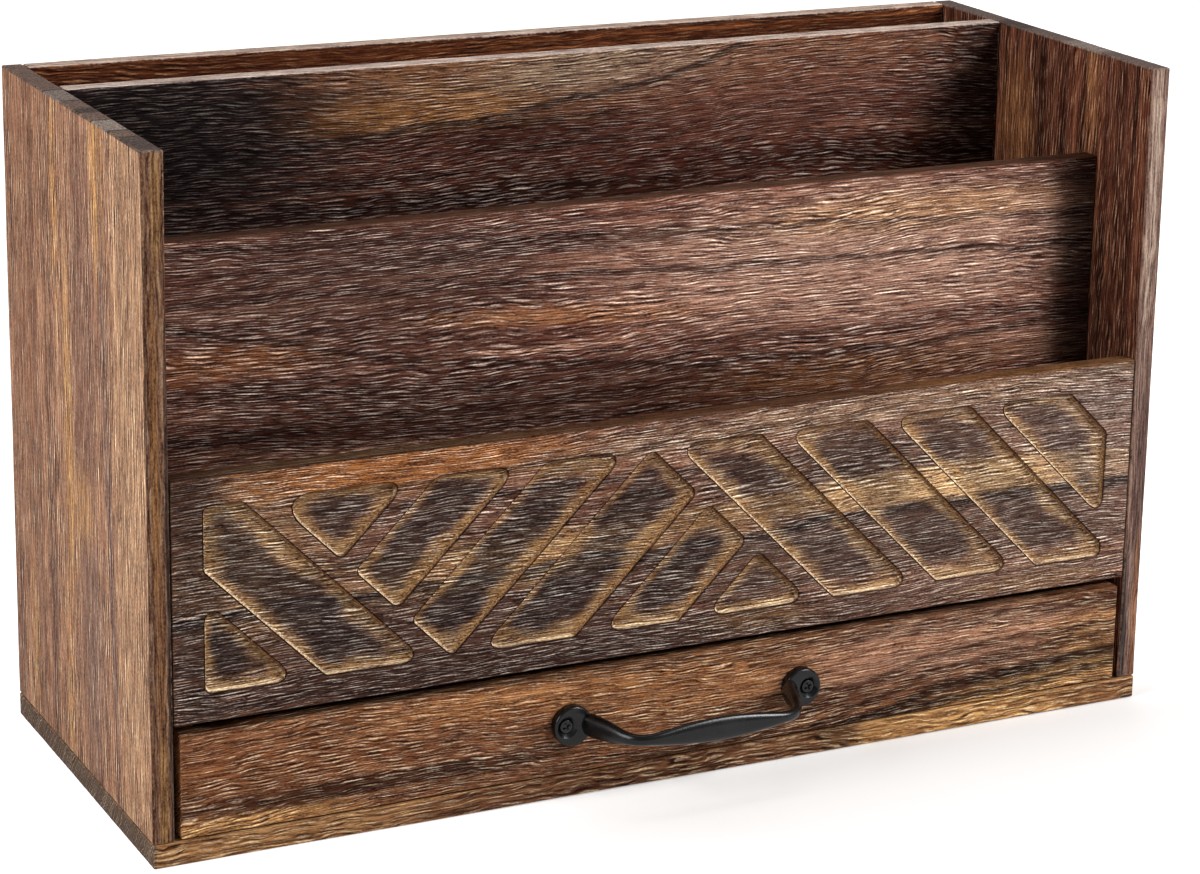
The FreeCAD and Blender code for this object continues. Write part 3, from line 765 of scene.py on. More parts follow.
def make_carved_group(layout: RibLayout, corner: float = 6.0) -> bpy.types.NodeTree:
    """How far a place on the carved panel lies inside a pocket, in millimetres.

    Args:
        layout: the ribs.
        corner: how widely the distance is rounded off in a pocket's corners.

    Returns:
        The group; below zero is on a rib or on the border.
    """
    tree, desk, given, result = new_group(
        "carved_field", {"Place": "Vector"}, {"Inside": "Float"})
    along, across, through = desk.split(given["Place"])
    low, high = (PER_METRE * place for place in layout.field())
    rise = desk.minus(across, low.z)
    falling, rising = desk.plus(along, rise), desk.minus(along, rise)

    def beside(place: object, feet: list[float]) -> list:
        """How far a place lies beside each of the ribs that start at some feet."""
        return [desk.line(desk.reckon("ABSOLUTE", desk.minus(place, PER_METRE * foot)),
                          math.sqrt(0.5), -PER_METRE * layout.rib / 2) for foot in feet]

    def nearest(distances: list) -> Socket:
        """The least of some distances, rounded off where two are alike.

        Args:
            distances: their sockets.

        Returns:
            The least distance's socket.
        """
        least = distances[0]
        for distance in distances[1:]:
            least = desk.reckon("SMOOTH_MIN", least, distance, corner)
        return least

    first, last = (PER_METRE * foot for foot in layout.crossed())
    inner = desk.times(desk.reckon("GREATER_THAN", falling, first),
                       desk.reckon("LESS_THAN", falling, last))
    crossing = desk.line(inner, -WHOLE_BOARD,
                         desk.plus(nearest(beside(rising, layout.rising())), WHOLE_BOARD))
    border = [desk.minus(along, low.x), desk.minus(high.x, along), rise,
              desk.minus(high.z, across)]
    desk.feed(result["Inside"], nearest([*beside(falling, layout.falling()), crossing, *border]))
    return tree


@dataclass(frozen=True)
class CarvedWood(TorchedWood):
    """Torched wood with pockets: bare walls, a glow beside them and a scorched floor, and
    painted light on the walls and rims: lighter where they face the light, darker where they
    face away.
    """

    layout: RibLayout = RibLayout()
    # a dark line along the pocket rims, partly painted shadow: wider on walls that face away
    # from the light
    outline: str = "#25160f"
    # painted shade: the bare walls' tone where they face away from the light
    shaded_umber: str = "#6b4629"
    bare: str = "#8a6440"
    # painted highlight: the lightest tone, deep on walls that face the light
    lit_cream: str = "#dabc98"
    glow: str = "#8f6d47"
    # painted light: the rim's tone where it faces the light
    tan: str = "#a27b54"
    floor: str = "#2a1f1d"
    floor_share: float = 0.5
    floor_extra: float = 0.32
    depth_name: str = "pocket_depth"
    # how much each point faces the light that is painted on the walls, noted on the mesh
    light_facing_name: str = "wall_light_facing"
    outline_depth: float = 0.5
    outline_and_shadow_share: float = 0.92
    wall_depth: float = 1.75
    wall_share: float = 0.92
    torn: float = 6.0
    wander: float = 13.0
    burnt_from: float = 0.5
    burnt_to: float = 6.5
    glow_from: float = 5.0
    glow_to: float = 1.0
    glow_share: float = 0.5
    # a lighter band by the rims of walls that face the light: painted light
    rim_from: float = 1.9
    rim_to: float = 0.4
    lit_rim_share: float = 0.5
    darker_from: float = 60.0
    darker_to: float = -40.0

    def burn(self, desk: NodeDesk, groups: Groups, place: object, colour: object) -> tuple:
        """Scorch the pockets' floors, leave their walls bare, and paint light and shade on walls
        and rims by how they face the light.

        Args:
            desk: the material's desk.
            groups: the shared node groups.
            place: the board's place in millimetres.
            colour: the wood's colour so far.

        Returns:
            The colour, and how strongly the fibres show on it.
        """
        inside = desk.use(groups.carved, Place=place)["Inside"]
        depth = desk.add("ShaderNodeAttribute", attribute_name=self.depth_name).outputs["Fac"]
        tear = desk.streaks(place, 0.16, 0.75, 2.0, 0.6)
        drift = desk.streaks(place, 0.045, 0.07, 1.0)
        reach = desk.line(tear, -self.torn, desk.plus(inside, self.torn / 2))
        reach = desk.line(drift, -self.wander, desk.plus(reach, self.torn))
        sunk = desk.step(depth, self.outline_depth, self.outline_depth + 0.3)
        burnt = desk.times(desk.step(reach, self.burnt_from, self.burnt_to), sunk)
        glowing = desk.times(desk.step(reach, self.glow_from, self.glow_to), sunk)
        leftward = desk.step(desk.split(place)[0], self.darker_from, self.darker_to)
        share = desk.line(leftward, self.floor_extra, self.floor_share)
        colour = desk.mix(desk.times(burnt, share), colour, tone(self.floor))
        colour = desk.mix(desk.times(glowing, self.glow_share), colour, tone(self.glow))
        # painted light: a band beside the walls that face the light, in the lit rim tone where
        # they face it and bare where they do not
        lit_rim = desk.line(tear, -self.torn / 2, inside)
        lit_rim = desk.times(desk.step(lit_rim, self.rim_from, self.rim_to), sunk)
        light_facing = desk.add("ShaderNodeAttribute", attribute_name=self.light_facing_name).outputs["Fac"]
        lit_rim = desk.times(lit_rim, desk.step(desk.plus(drift, light_facing), 0.1, 0.5))
        colour = desk.mix(desk.times(lit_rim, self.lit_rim_share), colour,
                          desk.mix(desk.step(light_facing, 0.1, 0.8), tone(self.bare),
                                   tone(self.tan)))
        # the walls' bare wood with painted light and shade: a darker tone where they face away
        # from the light, a pale one deep down where they face it
        wall = desk.times(sunk, desk.step(depth, self.wall_depth + 0.2, self.wall_depth - 0.3))
        level = desk.step(desk.reckon("ABSOLUTE", desk.plus(light_facing, 0.2)), 0.3, 0.12)
        scraped_and_lit = desk.line(tear, 0.8, desk.minus(light_facing, 0.4))
        scraped_and_lit = desk.line(level, 0.6, scraped_and_lit)
        bare = desk.mix(desk.step(scraped_and_lit, -0.7, 0.1), tone(self.shaded_umber), tone(self.bare))
        lit_palest = desk.times(desk.step(scraped_and_lit, 0.1, 0.75), desk.step(depth, 0.6, 1.3))
        bare = desk.mix(lit_palest, bare, tone(self.lit_cream))
        colour = desk.mix(desk.times(wall, self.wall_share), colour, bare)
        # painted shadow: the outline reaches deeper down walls that face away from the light
        shaded_line_foot = desk.line(desk.step(light_facing, 0.2, -0.5), 0.3, self.outline_depth)
        line = desk.times(desk.step(depth, 0.0, 0.1),
                          desk.step(depth, desk.plus(shaded_line_foot, 0.2), shaded_line_foot))
        line = desk.times(line, desk.line(level, -0.75, 1.0))
        hidden = desk.times(desk.larger(wall, line), 0.85)
        cover = desk.minus(1.0, desk.larger(hidden, desk.times(burnt, 0.2)))
        line = desk.times(line, self.outline_and_shadow_share)
        return desk.mix(line, colour, tone(self.outline)), cover


@dataclass(frozen=True)
class BlackIron:
    """Cast iron under a satin black coating."""

    name: str
    slot: str
    colour: str = "#040405"
    rubbed: str = "#0d0d0f"
    roughness: float = 0.26
    specular: float = 0.34
    grain_size: float = 0.9
    rub_size: float = 90.0
    relief: float = 0.12
    relief_depth: float = 0.2 * MM

    def material(self) -> bpy.types.Material:
        """Build the finish.

        Returns:
            The material.
        """
        material = bpy.data.materials.new(self.name)
        material.use_nodes = True
        desk = NodeDesk(material.node_tree)
        shader = material.node_tree.nodes["Principled BSDF"]
        found = desk.add("ShaderNodeTexCoord").outputs["Object"]
        fine = PER_METRE / self.grain_size
        pebble = desk.streaks(found, fine, fine, 2.0, 0.6)
        cloud = desk.streaks(found, self.rub_size, self.rub_size, 3.0, 0.6)
        colour = desk.mix(desk.step(cloud, 0.4, 0.72), tone(self.colour), tone(self.rubbed))
        desk.feed(shader.inputs["Base Color"], colour)
        rough = desk.line(cloud, 0.22, self.roughness - 0.11)
        desk.feed(shader.inputs["Roughness"], rough)
        shader.inputs["Specular IOR Level"].default_value = self.specular
        bump = desk.add("ShaderNodeBump")
        bump.inputs["Strength"].default_value = self.relief
        bump.inputs["Distance"].default_value = self.relief_depth
        desk.feed(bump.inputs["Height"], pebble)
        desk.feed(shader.inputs["Normal"], bump.outputs[0])
        return material


# ---------------------------------------------------------------- modelling by operators

def deselect() -> None:
    """Leave edit mode and select nothing."""
    if bpy.context.mode != "OBJECT":
        bpy.ops.object.mode_set(mode="OBJECT")
    bpy.ops.object.select_all(action="DESELECT")


def activate(piece: Piece) -> None:
    """Select one piece alone.

    Args:
        piece: the piece.
    """
    deselect()
    piece.select_set(True)
    bpy.context.view_layer.objects.active = piece


def settle(name: str) -> Piece:
    """Name the active piece and move its place, turn and scale into its mesh.

    Args:
        name: the piece's name.

    Returns:
        The piece, at the origin.
    """
    piece = bpy.context.view_layer.objects.active
    piece.name = name
    piece.data.name = name
    bpy.ops.object.transform_apply(location=True, rotation=True, scale=True)
    return piece


@contextmanager
def editing(piece: Piece) -> Iterator[None]:
    """Edit mode on one piece, with nothing selected.

    Args:
        piece: the piece.
    """
    activate(piece)
    bpy.ops.object.mode_set(mode="EDIT")
    bpy.ops.mesh.select_mode(type="VERT")
    bpy.ops.mesh.select_all(action="DESELECT")
    yield
    bpy.ops.object.mode_set(mode="OBJECT")


def pick(kind: str, test: Callable[[object], bool]) -> None:
    """Select the vertices, edges or faces of the mesh in edit mode that pass a test.

    Args:
        kind: VERT, EDGE or FACE.
        test: what an element has to pass.
    """
    bpy.ops.mesh.select_mode(type=kind)
    bpy.ops.mesh.select_all(action="DESELECT")
    mesh = bmesh.from_edit_mesh(bpy.context.edit_object.data)
    for item in {"VERT": mesh.verts, "EDGE": mesh.edges, "FACE": mesh.faces}[kind]:
        if test(item):
            item.select_set(True)
    bmesh.update_edit_mesh(bpy.context.edit_object.data)


def pick_level_edges(level: float, slack: float = CLOSE) -> None:
    """Select the edges that lie at one distance from front to back.

    Args:
        level: their place along the Y axis.
        slack: how far an edge may be from it.
    """
    pick("EDGE", lambda edge: all(abs(vertex.co.y - level) < slack for vertex in edge.verts))


def grow(run: float, size: float = 1.0) -> None:
    """Extrude the selected face backwards and resize its new end.

    Args:
        run: how far it goes along the Y axis.
        size: the new end's size as a share of the old one's.
    """
    bpy.ops.mesh.extrude_region_move(TRANSFORM_OT_translate={"value": (0, run, 0)})
    bpy.ops.transform.resize(value=(size, size, size))


def close_up() -> None:
    """Select the whole mesh in edit mode and turn its faces outwards."""
    bpy.ops.mesh.select_all(action="SELECT")
    bpy.ops.mesh.normals_make_consistent(inside=False)


def add_disc(name: str, sides: int, radius: float, place: Vector) -> Piece:
    """A round face that looks to the front, as the start of a turned piece.

    Args:
        name: the piece's name.
        sides: how many sides it has.
        radius: its radius.
        place: its middle.

    Returns:
        The new piece.
    """
    deselect()
    bpy.ops.mesh.primitive_circle_add(vertices=sides, radius=radius, fill_type="NGON",
                                      location=place, rotation=(math.pi / 2, 0, 0))
    return settle(name)


def finish_modifier(piece: Piece, kind: str, **settings: object) -> None:
    """Add a modifier to a piece and apply it.

    Args:
        piece: the piece.
        kind: the modifier's type.
        settings: its properties.
    """
    activate(piece)
    modifier = piece.modifiers.new(kind.lower(), kind)
    for name, value in settings.items():
        setattr(modifier, name, value)
    bpy.ops.object.modifier_apply(modifier=modifier.name)


def smooth(piece: Piece, angle: float = 35.0) -> None:
    """Shade a piece smooth.

    Args:
        piece: the piece.
        angle: the angle in degrees past which an edge stays sharp.
    """
    activate(piece)
    bpy.ops.object.shade_smooth_by_angle(angle=math.radians(angle))


def put_in_order(piece: Piece) -> None:
    """Number a piece's vertices, edges and faces by their place, the same way on each run.

    Args:
        piece: the piece.
    """
    slant = Vector((1.0, math.sqrt(2), math.sqrt(3)))
    mesh = bmesh.new()
    mesh.from_mesh(piece.data)
    mesh.verts.sort(key=lambda vertex: vertex.co.dot(slant))
    mesh.edges.sort(key=lambda edge: (edge.verts[0].co + edge.verts[1].co).dot(slant))
    mesh.faces.sort(key=lambda face: face.calc_center_median().dot(slant))
    mesh.to_mesh(piece.data)
    mesh.free()


def carve(piece: Piece, cutter: Piece, operation: str) -> None:
    """Cut a second solid out of a piece, or join it on, and remove it.

    Args:
        piece: the piece.
        cutter: the second solid.
        operation: DIFFERENCE or UNION.
    """
    finish_modifier(piece, "BOOLEAN", object=cutter, operation=operation, solver="EXACT")
    bpy.data.objects.remove(cutter)
    put_in_order(piece)


def add_cube(name: str, low: Vector, high: Vector) -> Piece:
    """A block, as the start of a piece.

    Args:
        name: the piece's name.
        low: the block's lowest corner.
        high: its highest corner.

    Returns:
        The new piece.
    """
    deselect()
    bpy.ops.mesh.primitive_cube_add(size=1, location=(low + high) / 2, scale=high - low)
    return settle(name)


@dataclass(frozen=True)
class Brushing:
    """The real relief of a brushed board: ridges along the grain and a gentle unevenness."""

    ridge_depth: float = 0.16 * MM
    ridge_width: float = 3.2 * MM
    ridge_length: float = 45 * MM
    sag_depth: float = 0.22 * MM
    sag_size: float = 38 * MM
    stray: Point = (0.31, 0.17, 0.23)

    def apply(self, piece: Piece, grain: Grain, seed: float) -> None:
        """Press the relief into a piece, never outwards.

        Args:
            piece: the piece, at the origin.
            grain: how its grain runs.
            seed: a number of its own, so that no two boards are alike.
        """
        ridge = [self.ridge_width] * 3
        ridge[grain.value[0]] = self.ridge_length
        for size, depth in ((ridge, self.ridge_depth), ([self.sag_size] * 3, self.sag_depth)):
            deselect()
            bpy.ops.object.empty_add(location=[step * seed for step in self.stray])
            guide = bpy.context.object
            guide.scale = size
            bpy.context.view_layer.update()
            cloud = bpy.data.textures.new("relief", "CLOUDS")
            cloud.noise_scale = 1.0
            cloud.noise_depth = 1
            finish_modifier(piece, "DISPLACE", texture=cloud, texture_coords="OBJECT",
                            texture_coords_object=guide, strength=depth, mid_level=1.0)
            bpy.data.objects.remove(guide)
            bpy.data.textures.remove(cloud)


@dataclass(frozen=True)
class Board:
    """A board with eased edges that stands for a node of the frame."""

    node: str
    body: str
    finish: TorchedWood
    ease: float = 0.8 * MM
    ease_steps: int = 3
    cell_along: float = 7 * MM
    cell_across: float = 1.4 * MM
    cell_through: float = 2.5 * MM
    brushing: Brushing = Brushing()

    def block(self) -> Piece:
        """The board as one block with eased edges.

        Returns:
            The new piece.
        """
        low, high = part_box(self.node)
        piece = add_cube(self.node + "_board", Vector(low), Vector(high))
        with editing(piece):
            pick("EDGE", lambda edge: True)
            bpy.ops.mesh.bevel(offset=self.ease, segments=self.ease_steps, affect="EDGES")
        return piece

    def grid(self, piece: Piece) -> None:
        """Cut a board's faces into cells that follow the grain, for its relief.

        Args:
            piece: the shaped board.
        """
        low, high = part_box(self.node)
        cells = (self.cell_along, self.cell_across, self.cell_through)
        with editing(piece):
            for axis, cell in sorted(zip(self.finish.grain.value, cells),
                                     key=lambda pair: pair[1]):
                start, end = low[axis] + self.ease, high[axis] - self.ease
                parts = round((end - start) / cell)
                normal = Vector([float(other == axis) for other in range(3)])
                for i in range(1, parts):
                    bpy.ops.mesh.select_all(action="SELECT")
                    bpy.ops.mesh.bisect(plane_co=normal * (start + (end - start) * i / parts),
                                        plane_no=normal, threshold=TOUCHING)

    def dress(self, piece: Piece, groups: Groups) -> Piece:
        """Give a shaped board its relief, its finish and its place in the frame.

        Args:
            piece: the shaped board.
            groups: the shared node groups.

        Returns:
            The finished piece.
        """
        self.brushing.apply(piece, self.finish.grain, self.finish.seed)
        smooth(piece)
        low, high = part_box(self.node)
        piece.data.materials.append(self.finish.material(groups, Vector(low), Vector(high)))
        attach(piece, self.body)
        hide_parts(self.node)
        LOG.info("%s: %d faces", piece.name, len(piece.data.polygons))
        return piece

    def build(self, groups: Groups) -> Piece:
        """Make the whole board.

        Args:
            groups: the shared node groups.

        Returns:
            The finished piece.
        """
        piece = self.block()
        self.grid(piece)
        return self.dress(piece, groups)


def dress_node(node: str, finish: TorchedWood, groups: Groups) -> None:
    """Give a node of the frame a finish of its own.

    Args:
        node: the node's name.
        finish: its finish.
        groups: the shared node groups.
    """
    low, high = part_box(node)
    made = finish.material(groups, Vector(low), Vector(high))
    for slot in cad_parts[node].material_slots:
        slot.material = made
    LOG.info("%s: dressed", node)


# ---------------------------------------------------------------- the woods, board by board

SIDE_TOP = PER_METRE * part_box("left_side")[1][2]
SIDE_FRONT = PER_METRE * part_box("left_side")[0][1]
PANEL_TOP = PER_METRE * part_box("front_panel")[1][2]


def wide(colour: str, along: float, across: float, half_along: float, half_across: float,
         share: float = 0.7, **more: object) -> Patch:
    """A patch with a soft, torn edge, the usual kind.

    Args:
        colour: its tone.
        along: its middle along the grain, in millimetres.
        across: its middle across the grain.
        half_along: half its length.
        half_across: half its width.
        share: how much of it shows.
        more: other fields of the patch.

    Returns:
        The patch.
    """
    return Patch(colour, along, across, half_along, half_across, share, **more)


def edge(colour: str, along: float = 125, half_along: float = 260, through: float = -196,
         half_through: float = WHOLE_BOARD, share: float = 0.85) -> Patch:
    """A streak on the front edge of an upright board.

    Args:
        colour: its tone.
        along: its middle along the grain, in millimetres.
        half_along: half its length.
        through: its middle from side to side.
        half_through: half its width.
        share: how much of it shows.

    Returns:
        The patch.
    """
    return Patch(colour, along, SIDE_FRONT, half_along, 1.0, share, 0.3, 1.2,
                 through=through, half_through=half_through)


def top_end(colour: str, across: float = 0, half_across: float = WHOLE_BOARD) -> Patch:
    """A stave of the end grain on top of an upright board.

    Args:
        colour: its tone.
        across: its middle from front to back, in millimetres.
        half_across: half its width.

    Returns:
        The patch.
    """
    return Patch(colour, SIDE_TOP, across, 0.9, half_across, 0.85, 0.25, 0.0, 0.0,
                 Shape.SQUARE)


def strip(colour: str, across: float, half_across: float, share: float = 0.8,
          **more: object) -> Patch:
    """A square-ended strip along a whole board, as on an edge.

    Args:
        colour: its tone.
        across: its middle across the grain, in millimetres.
        half_across: half its width.
        share: how much of it shows.
        more: other fields of the patch.

    Returns:
        The patch.
    """
    settings = {"soft": 0.25, "ragged": 0.15, "shape": Shape.SQUARE} | more
    return Patch(colour, 0.0, across, WHOLE_BOARD, half_across, share, **settings)


LEFT_SIDE_WOOD = TorchedWood(
    "left_side_torched", "side_wood", Grain.UPRIGHT,
    light="#b98b6b", middle="#966b52", dark="#6e4c3d", pore_and_glint="#f4d2b4", seed=3.0,
    sway=4.0, pitch=5.5, curl=0.8, fineness=0.8, dashes=0.9, glint_lift=1.7,
    threads=0.95, mottle=0.1,
    thread="#5a443a", grit=0.26, hair=0.95,
    patches=(
        wide("#aa8263", 130, -62, 260, 17, 0.8, ragged=0.8),
        wide("#7a5547", 180, -12, 62, 17, 0.65, ragged=1.6, soft=0.7),
        wide("#7d6157", 55, -18, 48, 13, 0.55, ragged=1.2),
        wide("#c48d52", 235, -30, 34, 6, 0.75, ragged=1.4),
        wide("#b9824c", 215, 19, 38, 4.5, 0.6, ragged=1.4),
        wide("#bf8c54", 135, 7, 60, 4.5, 0.6, ragged=1.2),
        wide("#bb8a58", 108, -6, 12, 14, 0.5, ragged=1.8),
        wide("#bb8a58", 30, 12, 42, 3.0, 0.6, ragged=0.9),
        wide("#b38355", 38, 54, 34, 5.0, 0.5, ragged=1.2),
        wide("#8a5a3f", 190, 52, 80, 24, 0.35, ragged=1.4),
        Patch("#69504a", 125, -37, 140, 3.0, 0.7, 0.5, 0.7, 0.042),
    ),
    over=(
        edge("#4a3124", share=0.8),
        edge("#7b5a38", 232, 24, -195.4, 1.5, 0.7),
        edge("#75502f", 150, 60, -197.0, 1.2, 0.7),
        edge("#6a482f", 70, 50, -196.0, 1.4, 0.7),
        edge("#7b5a38", 20, 26, -195.6, 1.6, 0.7),
        edge("#2b2322", 95, 90, -192.6, 1.1),
        edge("#33221a", 120, 260, -200.0, 0.6, 0.6),
        top_end("#5b4c46"),
        top_end("#85776e", -35, 9),
        top_end("#766861", 18, 10),
        top_end("#3f3430", -10, 4),
        top_end("#463a36", -66, 11),
        *(top_end("#2a2221", joint, 0.6) for joint in (-55, -44, -26, 8, 28)),
    ),
    rings=(Ring("#452a1d", 130, 31, 0.0, width=0.5, share=0.7),
           Ring("#452a1d", 130, 3, 0.01, width=0.45, share=0.6)),
    arris="#dcb18a", arris_share=0.45, arris_width=0.8, roughness=0.5)

RIGHT_SIDE_WOOD = TorchedWood(
    "right_side_torched", "side_wood", Grain.UPRIGHT,
    light="#7b4a35", middle="#583124", dark="#2e1610", pore_and_glint="#cfa284", seed=11.0,
    sway=4.0, pitch=5.0, curl=0.8, fineness=0.9, dashes=0.9, threads=0.95, mottle=0.3,
    patches=(
        wide("#8a5a38", 212, 12, 22, 12, 0.6, ragged=1.4),
        wide("#946241", 232, -39, 26, 4, 0.7, ragged=1.2),
        wide("#2a150e", 225, -5, 40, 2.2, 0.8, ragged=0.9),
        wide("#331b12", 130, -60, 90, 16, 0.45, ragged=1.4),
    ),
    over=(
        edge("#6f5950", share=0.8),
        edge("#917b6d", 205, 60, 195.4, 2.4, 0.75),
        edge("#54403a", 90, 50, 197.5, 2.0),
        edge("#322b29", 25, 40, 193.2, 1.4),
        edge("#744f3a", 30, 40, 198.0, 1.4),
        top_end("#5d504b"),
        top_end("#7d7068", -30, 12),
        top_end("#40352f", 20, 10),
    ),
    arris="#a3806a", arris_share=0.45, roughness=0.52)

BASE_WOOD = TorchedWood(
    "bottom_board_torched", "base_wood", Grain.FLAT,
    light="#ac8052", middle="#845c3c", dark="#472c1f", pore_and_glint="#f0d5b0", seed=5.0,
    sway=3.0, pitch=3.5, fineness=1.2, dashes=0.9, glint_lift=2.2, threads=0.9, mottle=0.3,
    patches=(
        wide("#553424", -20, -79, 90, 8, 0.7, ragged=1.6),
        wide("#b58755", 115, -79, 42, 8, 0.7, ragged=1.4),
        wide("#432a1c", 66, -79, 9, 8, 0.7, ragged=1.2),
        wide("#98704a", -150, -79, 40, 8, 0.5, ragged=1.4),
        Patch("#54433b", -200, 0, 1.2, 100, 0.9, 0.3, 0.0, 0.0, Shape.SQUARE),
    ),
    arris="#c2925c", arris_share=0.35, roughness=0.5)

BACK_WOOD = TorchedWood(
    "back_panel_torched", "back_wood", Grain.LEVEL,
    light="#7c4425", middle="#4c2615", dark="#240f09", pore_and_glint="#b9875f", seed=7.0,
    sway=6.0, pitch=4.0, dashes=0.7, threads=0.75,
    # painted sheen: the pale top face, where the varnish reflects the light from above; the pale
    # arris tone is partly edge wear and partly that painted sheen
    over=(strip("#b59c8c", 250.2, 0.7, 0.85),),
    arris="#cbb9ac", arris_share=0.6, roughness=0.5)

REAR_DIVIDER_WOOD = TorchedWood(
    "rear_divider_torched", "divider_wood", Grain.LEVEL,
    light="#7d5240", middle="#4b271d", dark="#1f0c08", pore_and_glint="#dcc2b4", seed=13.0,
    sway=6.0, pitch=8.0, curl=0.5, fineness=1.2, dashes=0.9, threads=0.95, hair=1.2,
    mottle=0.3, grit=0.22,
    patches=(
        wide("#7d5638", 10, 244, 130, 16, 0.65, ragged=1.0),
        wide("#8f6037", -62, 231, 46, 6, 0.7, ragged=1.6, tilt=0.03),
        wide("#8d7560", 22, 243, 48, 8, 0.75, ragged=0.8),
        # painted shade: the nearly black left end of the rear divider
        wide("#171012", -165, 232, 62, 40, 0.92, ragged=1.4),
        wide("#6d4336", 85, 232, 70, 18, 0.6, ragged=1.5),
        wide("#1c0f0c", 190, 205, 30, 50, 0.7, ragged=1.0),
        wide("#1c0d09", -60, 190, 160, 14, 0.7, ragged=1.6),
    ),
    over=(
        # painted shade laid over the fibres at the same left end
        wide("#100b0c", -165, 225, 70, 45, 0.6, ragged=1.4),
        wide("#140a08", 196, 210, 22, 60, 0.6, ragged=1.0),
        # painted sheen: the pale top face, where the varnish reflects the light from above; the
        # pale arris tone is partly edge wear and partly that painted sheen
        strip("#b9a296", 250.2, 0.7, 0.9),
    ),
    rings=(Ring("#241613", -30, 229, 0.075, 0.00025, 0.0000075, 1.3, 0.85),),
    arris="#c9bab0", arris_share=0.5, roughness=0.46, relief=0.55)

FRONT_DIVIDER_WOOD = TorchedWood(
    "front_divider_torched", "divider_wood", Grain.LEVEL,
    light="#996c58", middle="#623a2d", dark="#2d140e", pore_and_glint="#efd4c6", seed=21.0,
    sway=7.0, pitch=8.0, curl=0.4, fineness=1.2, dashes=1.0, glint_lift=3.2, threads=0.95,
    hair=1.25, mottle=0.2, grit=0.24,
    patches=(
        wide("#3b2721", -120, 185, 90, 32, 0.7, ragged=1.6),
        # painted sheen: the pale zone at the upper right, where the varnish catches the light
        wide("#a9826f", 95, 182, 95, 24, 0.65, ragged=1.3),
        wide("#99704c", 110, 196, 60, 7, 0.6, ragged=1.2),
        wide("#2e1812", -60, 140, 180, 14, 0.65, ragged=1.8),
        wide("#7b4a2a", -160, 166, 34, 6, 0.6, ragged=1.8),
        wide("#8a562f", -30, 170, 50, 3.4, 0.5, ragged=1.4, tilt=-0.07),
        wide("#764a2c", 90, 136, 62, 7, 0.6, ragged=1.4),
    ),
    over=(
        # the dark right end: partly scorching, partly painted shade cast by the right side
        wide("#0f0605", 190, 170, 15, 70, 0.85, ragged=0.8),
        wide("#1c0e0a", -60, 135, 190, 8, 0.3, ragged=1.6),
        strip("#3d2417", 210.7, 0.7, 0.9),
    ),
    rings=(Ring("#24110c", 0, 149, -0.09, 0.0005, width=1.5, share=0.75),
           Ring("#2e1712", 120, 180, -0.03, width=1.2, share=0.8),
           Ring("#2e1712", 110, 193, -0.05, width=1.0, share=0.75)),
    arris="#6d4a35", arris_share=0.4, roughness=0.47, relief=0.5)

PANEL_WOOD = CarvedWood(
    "front_panel_torched", "panel_wood", Grain.LEVEL,
    light="#8c624d", middle="#5c3c2f", dark="#2f1d16", pore_and_glint="#f4e0d2", seed=31.0,
    sway=5.0, pitch=7.0, curl=0.5, fineness=1.3, dashes=1.0, glint_lift=3.2, threads=0.9,
    hair=1.15, mottle=0.3, grit=0.38,
    patches=(
        wide("#846758", 120, 92, 95, 42, 0.45, ragged=1.4),
        wide("#36231c", -110, 72, 110, 26, 0.5, ragged=1.6),
        wide("#90592f", -108, 133, 64, 8.0, 0.85, ragged=1.5),
        wide("#93725b", 90, 132, 120, 5.0, 0.65, ragged=1.4, tilt=0.02),
        wide("#8f6a47", -165, 104, 26, 26, 0.45, ragged=1.6),
        wide("#a87d50", -52, 93, 44, 8, 0.7, ragged=1.6, tilt=0.03),
        wide("#8a643f", -95, 92, 40, 9, 0.45, ragged=1.6),
        wide("#c49a6c", 118, 99, 70, 7.0, 0.85, ragged=1.3, tilt=-0.01),
        wide("#97704a", 30, 98, 40, 6, 0.55, ragged=1.4),
        wide("#8f6a45", 30, 57, 24, 4, 0.6, ragged=1.6),
        wide("#8a6845", 150, 55, 30, 3, 0.35, ragged=1.6),
        wide("#2b1a16", -70, 55, 140, 9, 0.75, ragged=1.4),
        wide("#3c2822", -120, 74, 80, 8, 0.5, ragged=1.8),
        wide("#2f201b", -182, 88, 11, 60, 0.75, ragged=1.2),
        wide("#31211b", 60, 112, 60, 7, 0.6, ragged=1.6),
        wide("#453129", 120, 78, 80, 9, 0.5, ragged=1.5),
        wide("#76625a", 176, 112, 22, 30, 0.5, ragged=1.4),
    ),
    over=(
        strip("#2f1b12", PANEL_TOP, 0.7, 0.85),
        Patch("#4d3020", 40, PANEL_TOP, 110, 0.9, 0.75, 0.3, 0.4),
        Patch("#6b472b", 150, PANEL_TOP, 60, 0.9, 0.7, 0.3, 0.4),
        wide("#2d1c16", -192, 130, 16, 20, 0.6, ragged=1.2),
    ),
    rings=(Ring("#241a19", 90, 91, 0.012, width=2.2, share=0.9),
           Ring("#45301f", -100, 126, 0.03, width=1.2, share=0.6)),
    arris="#7a593c", arris_share=0.15, roughness=0.47, relief=0.5)

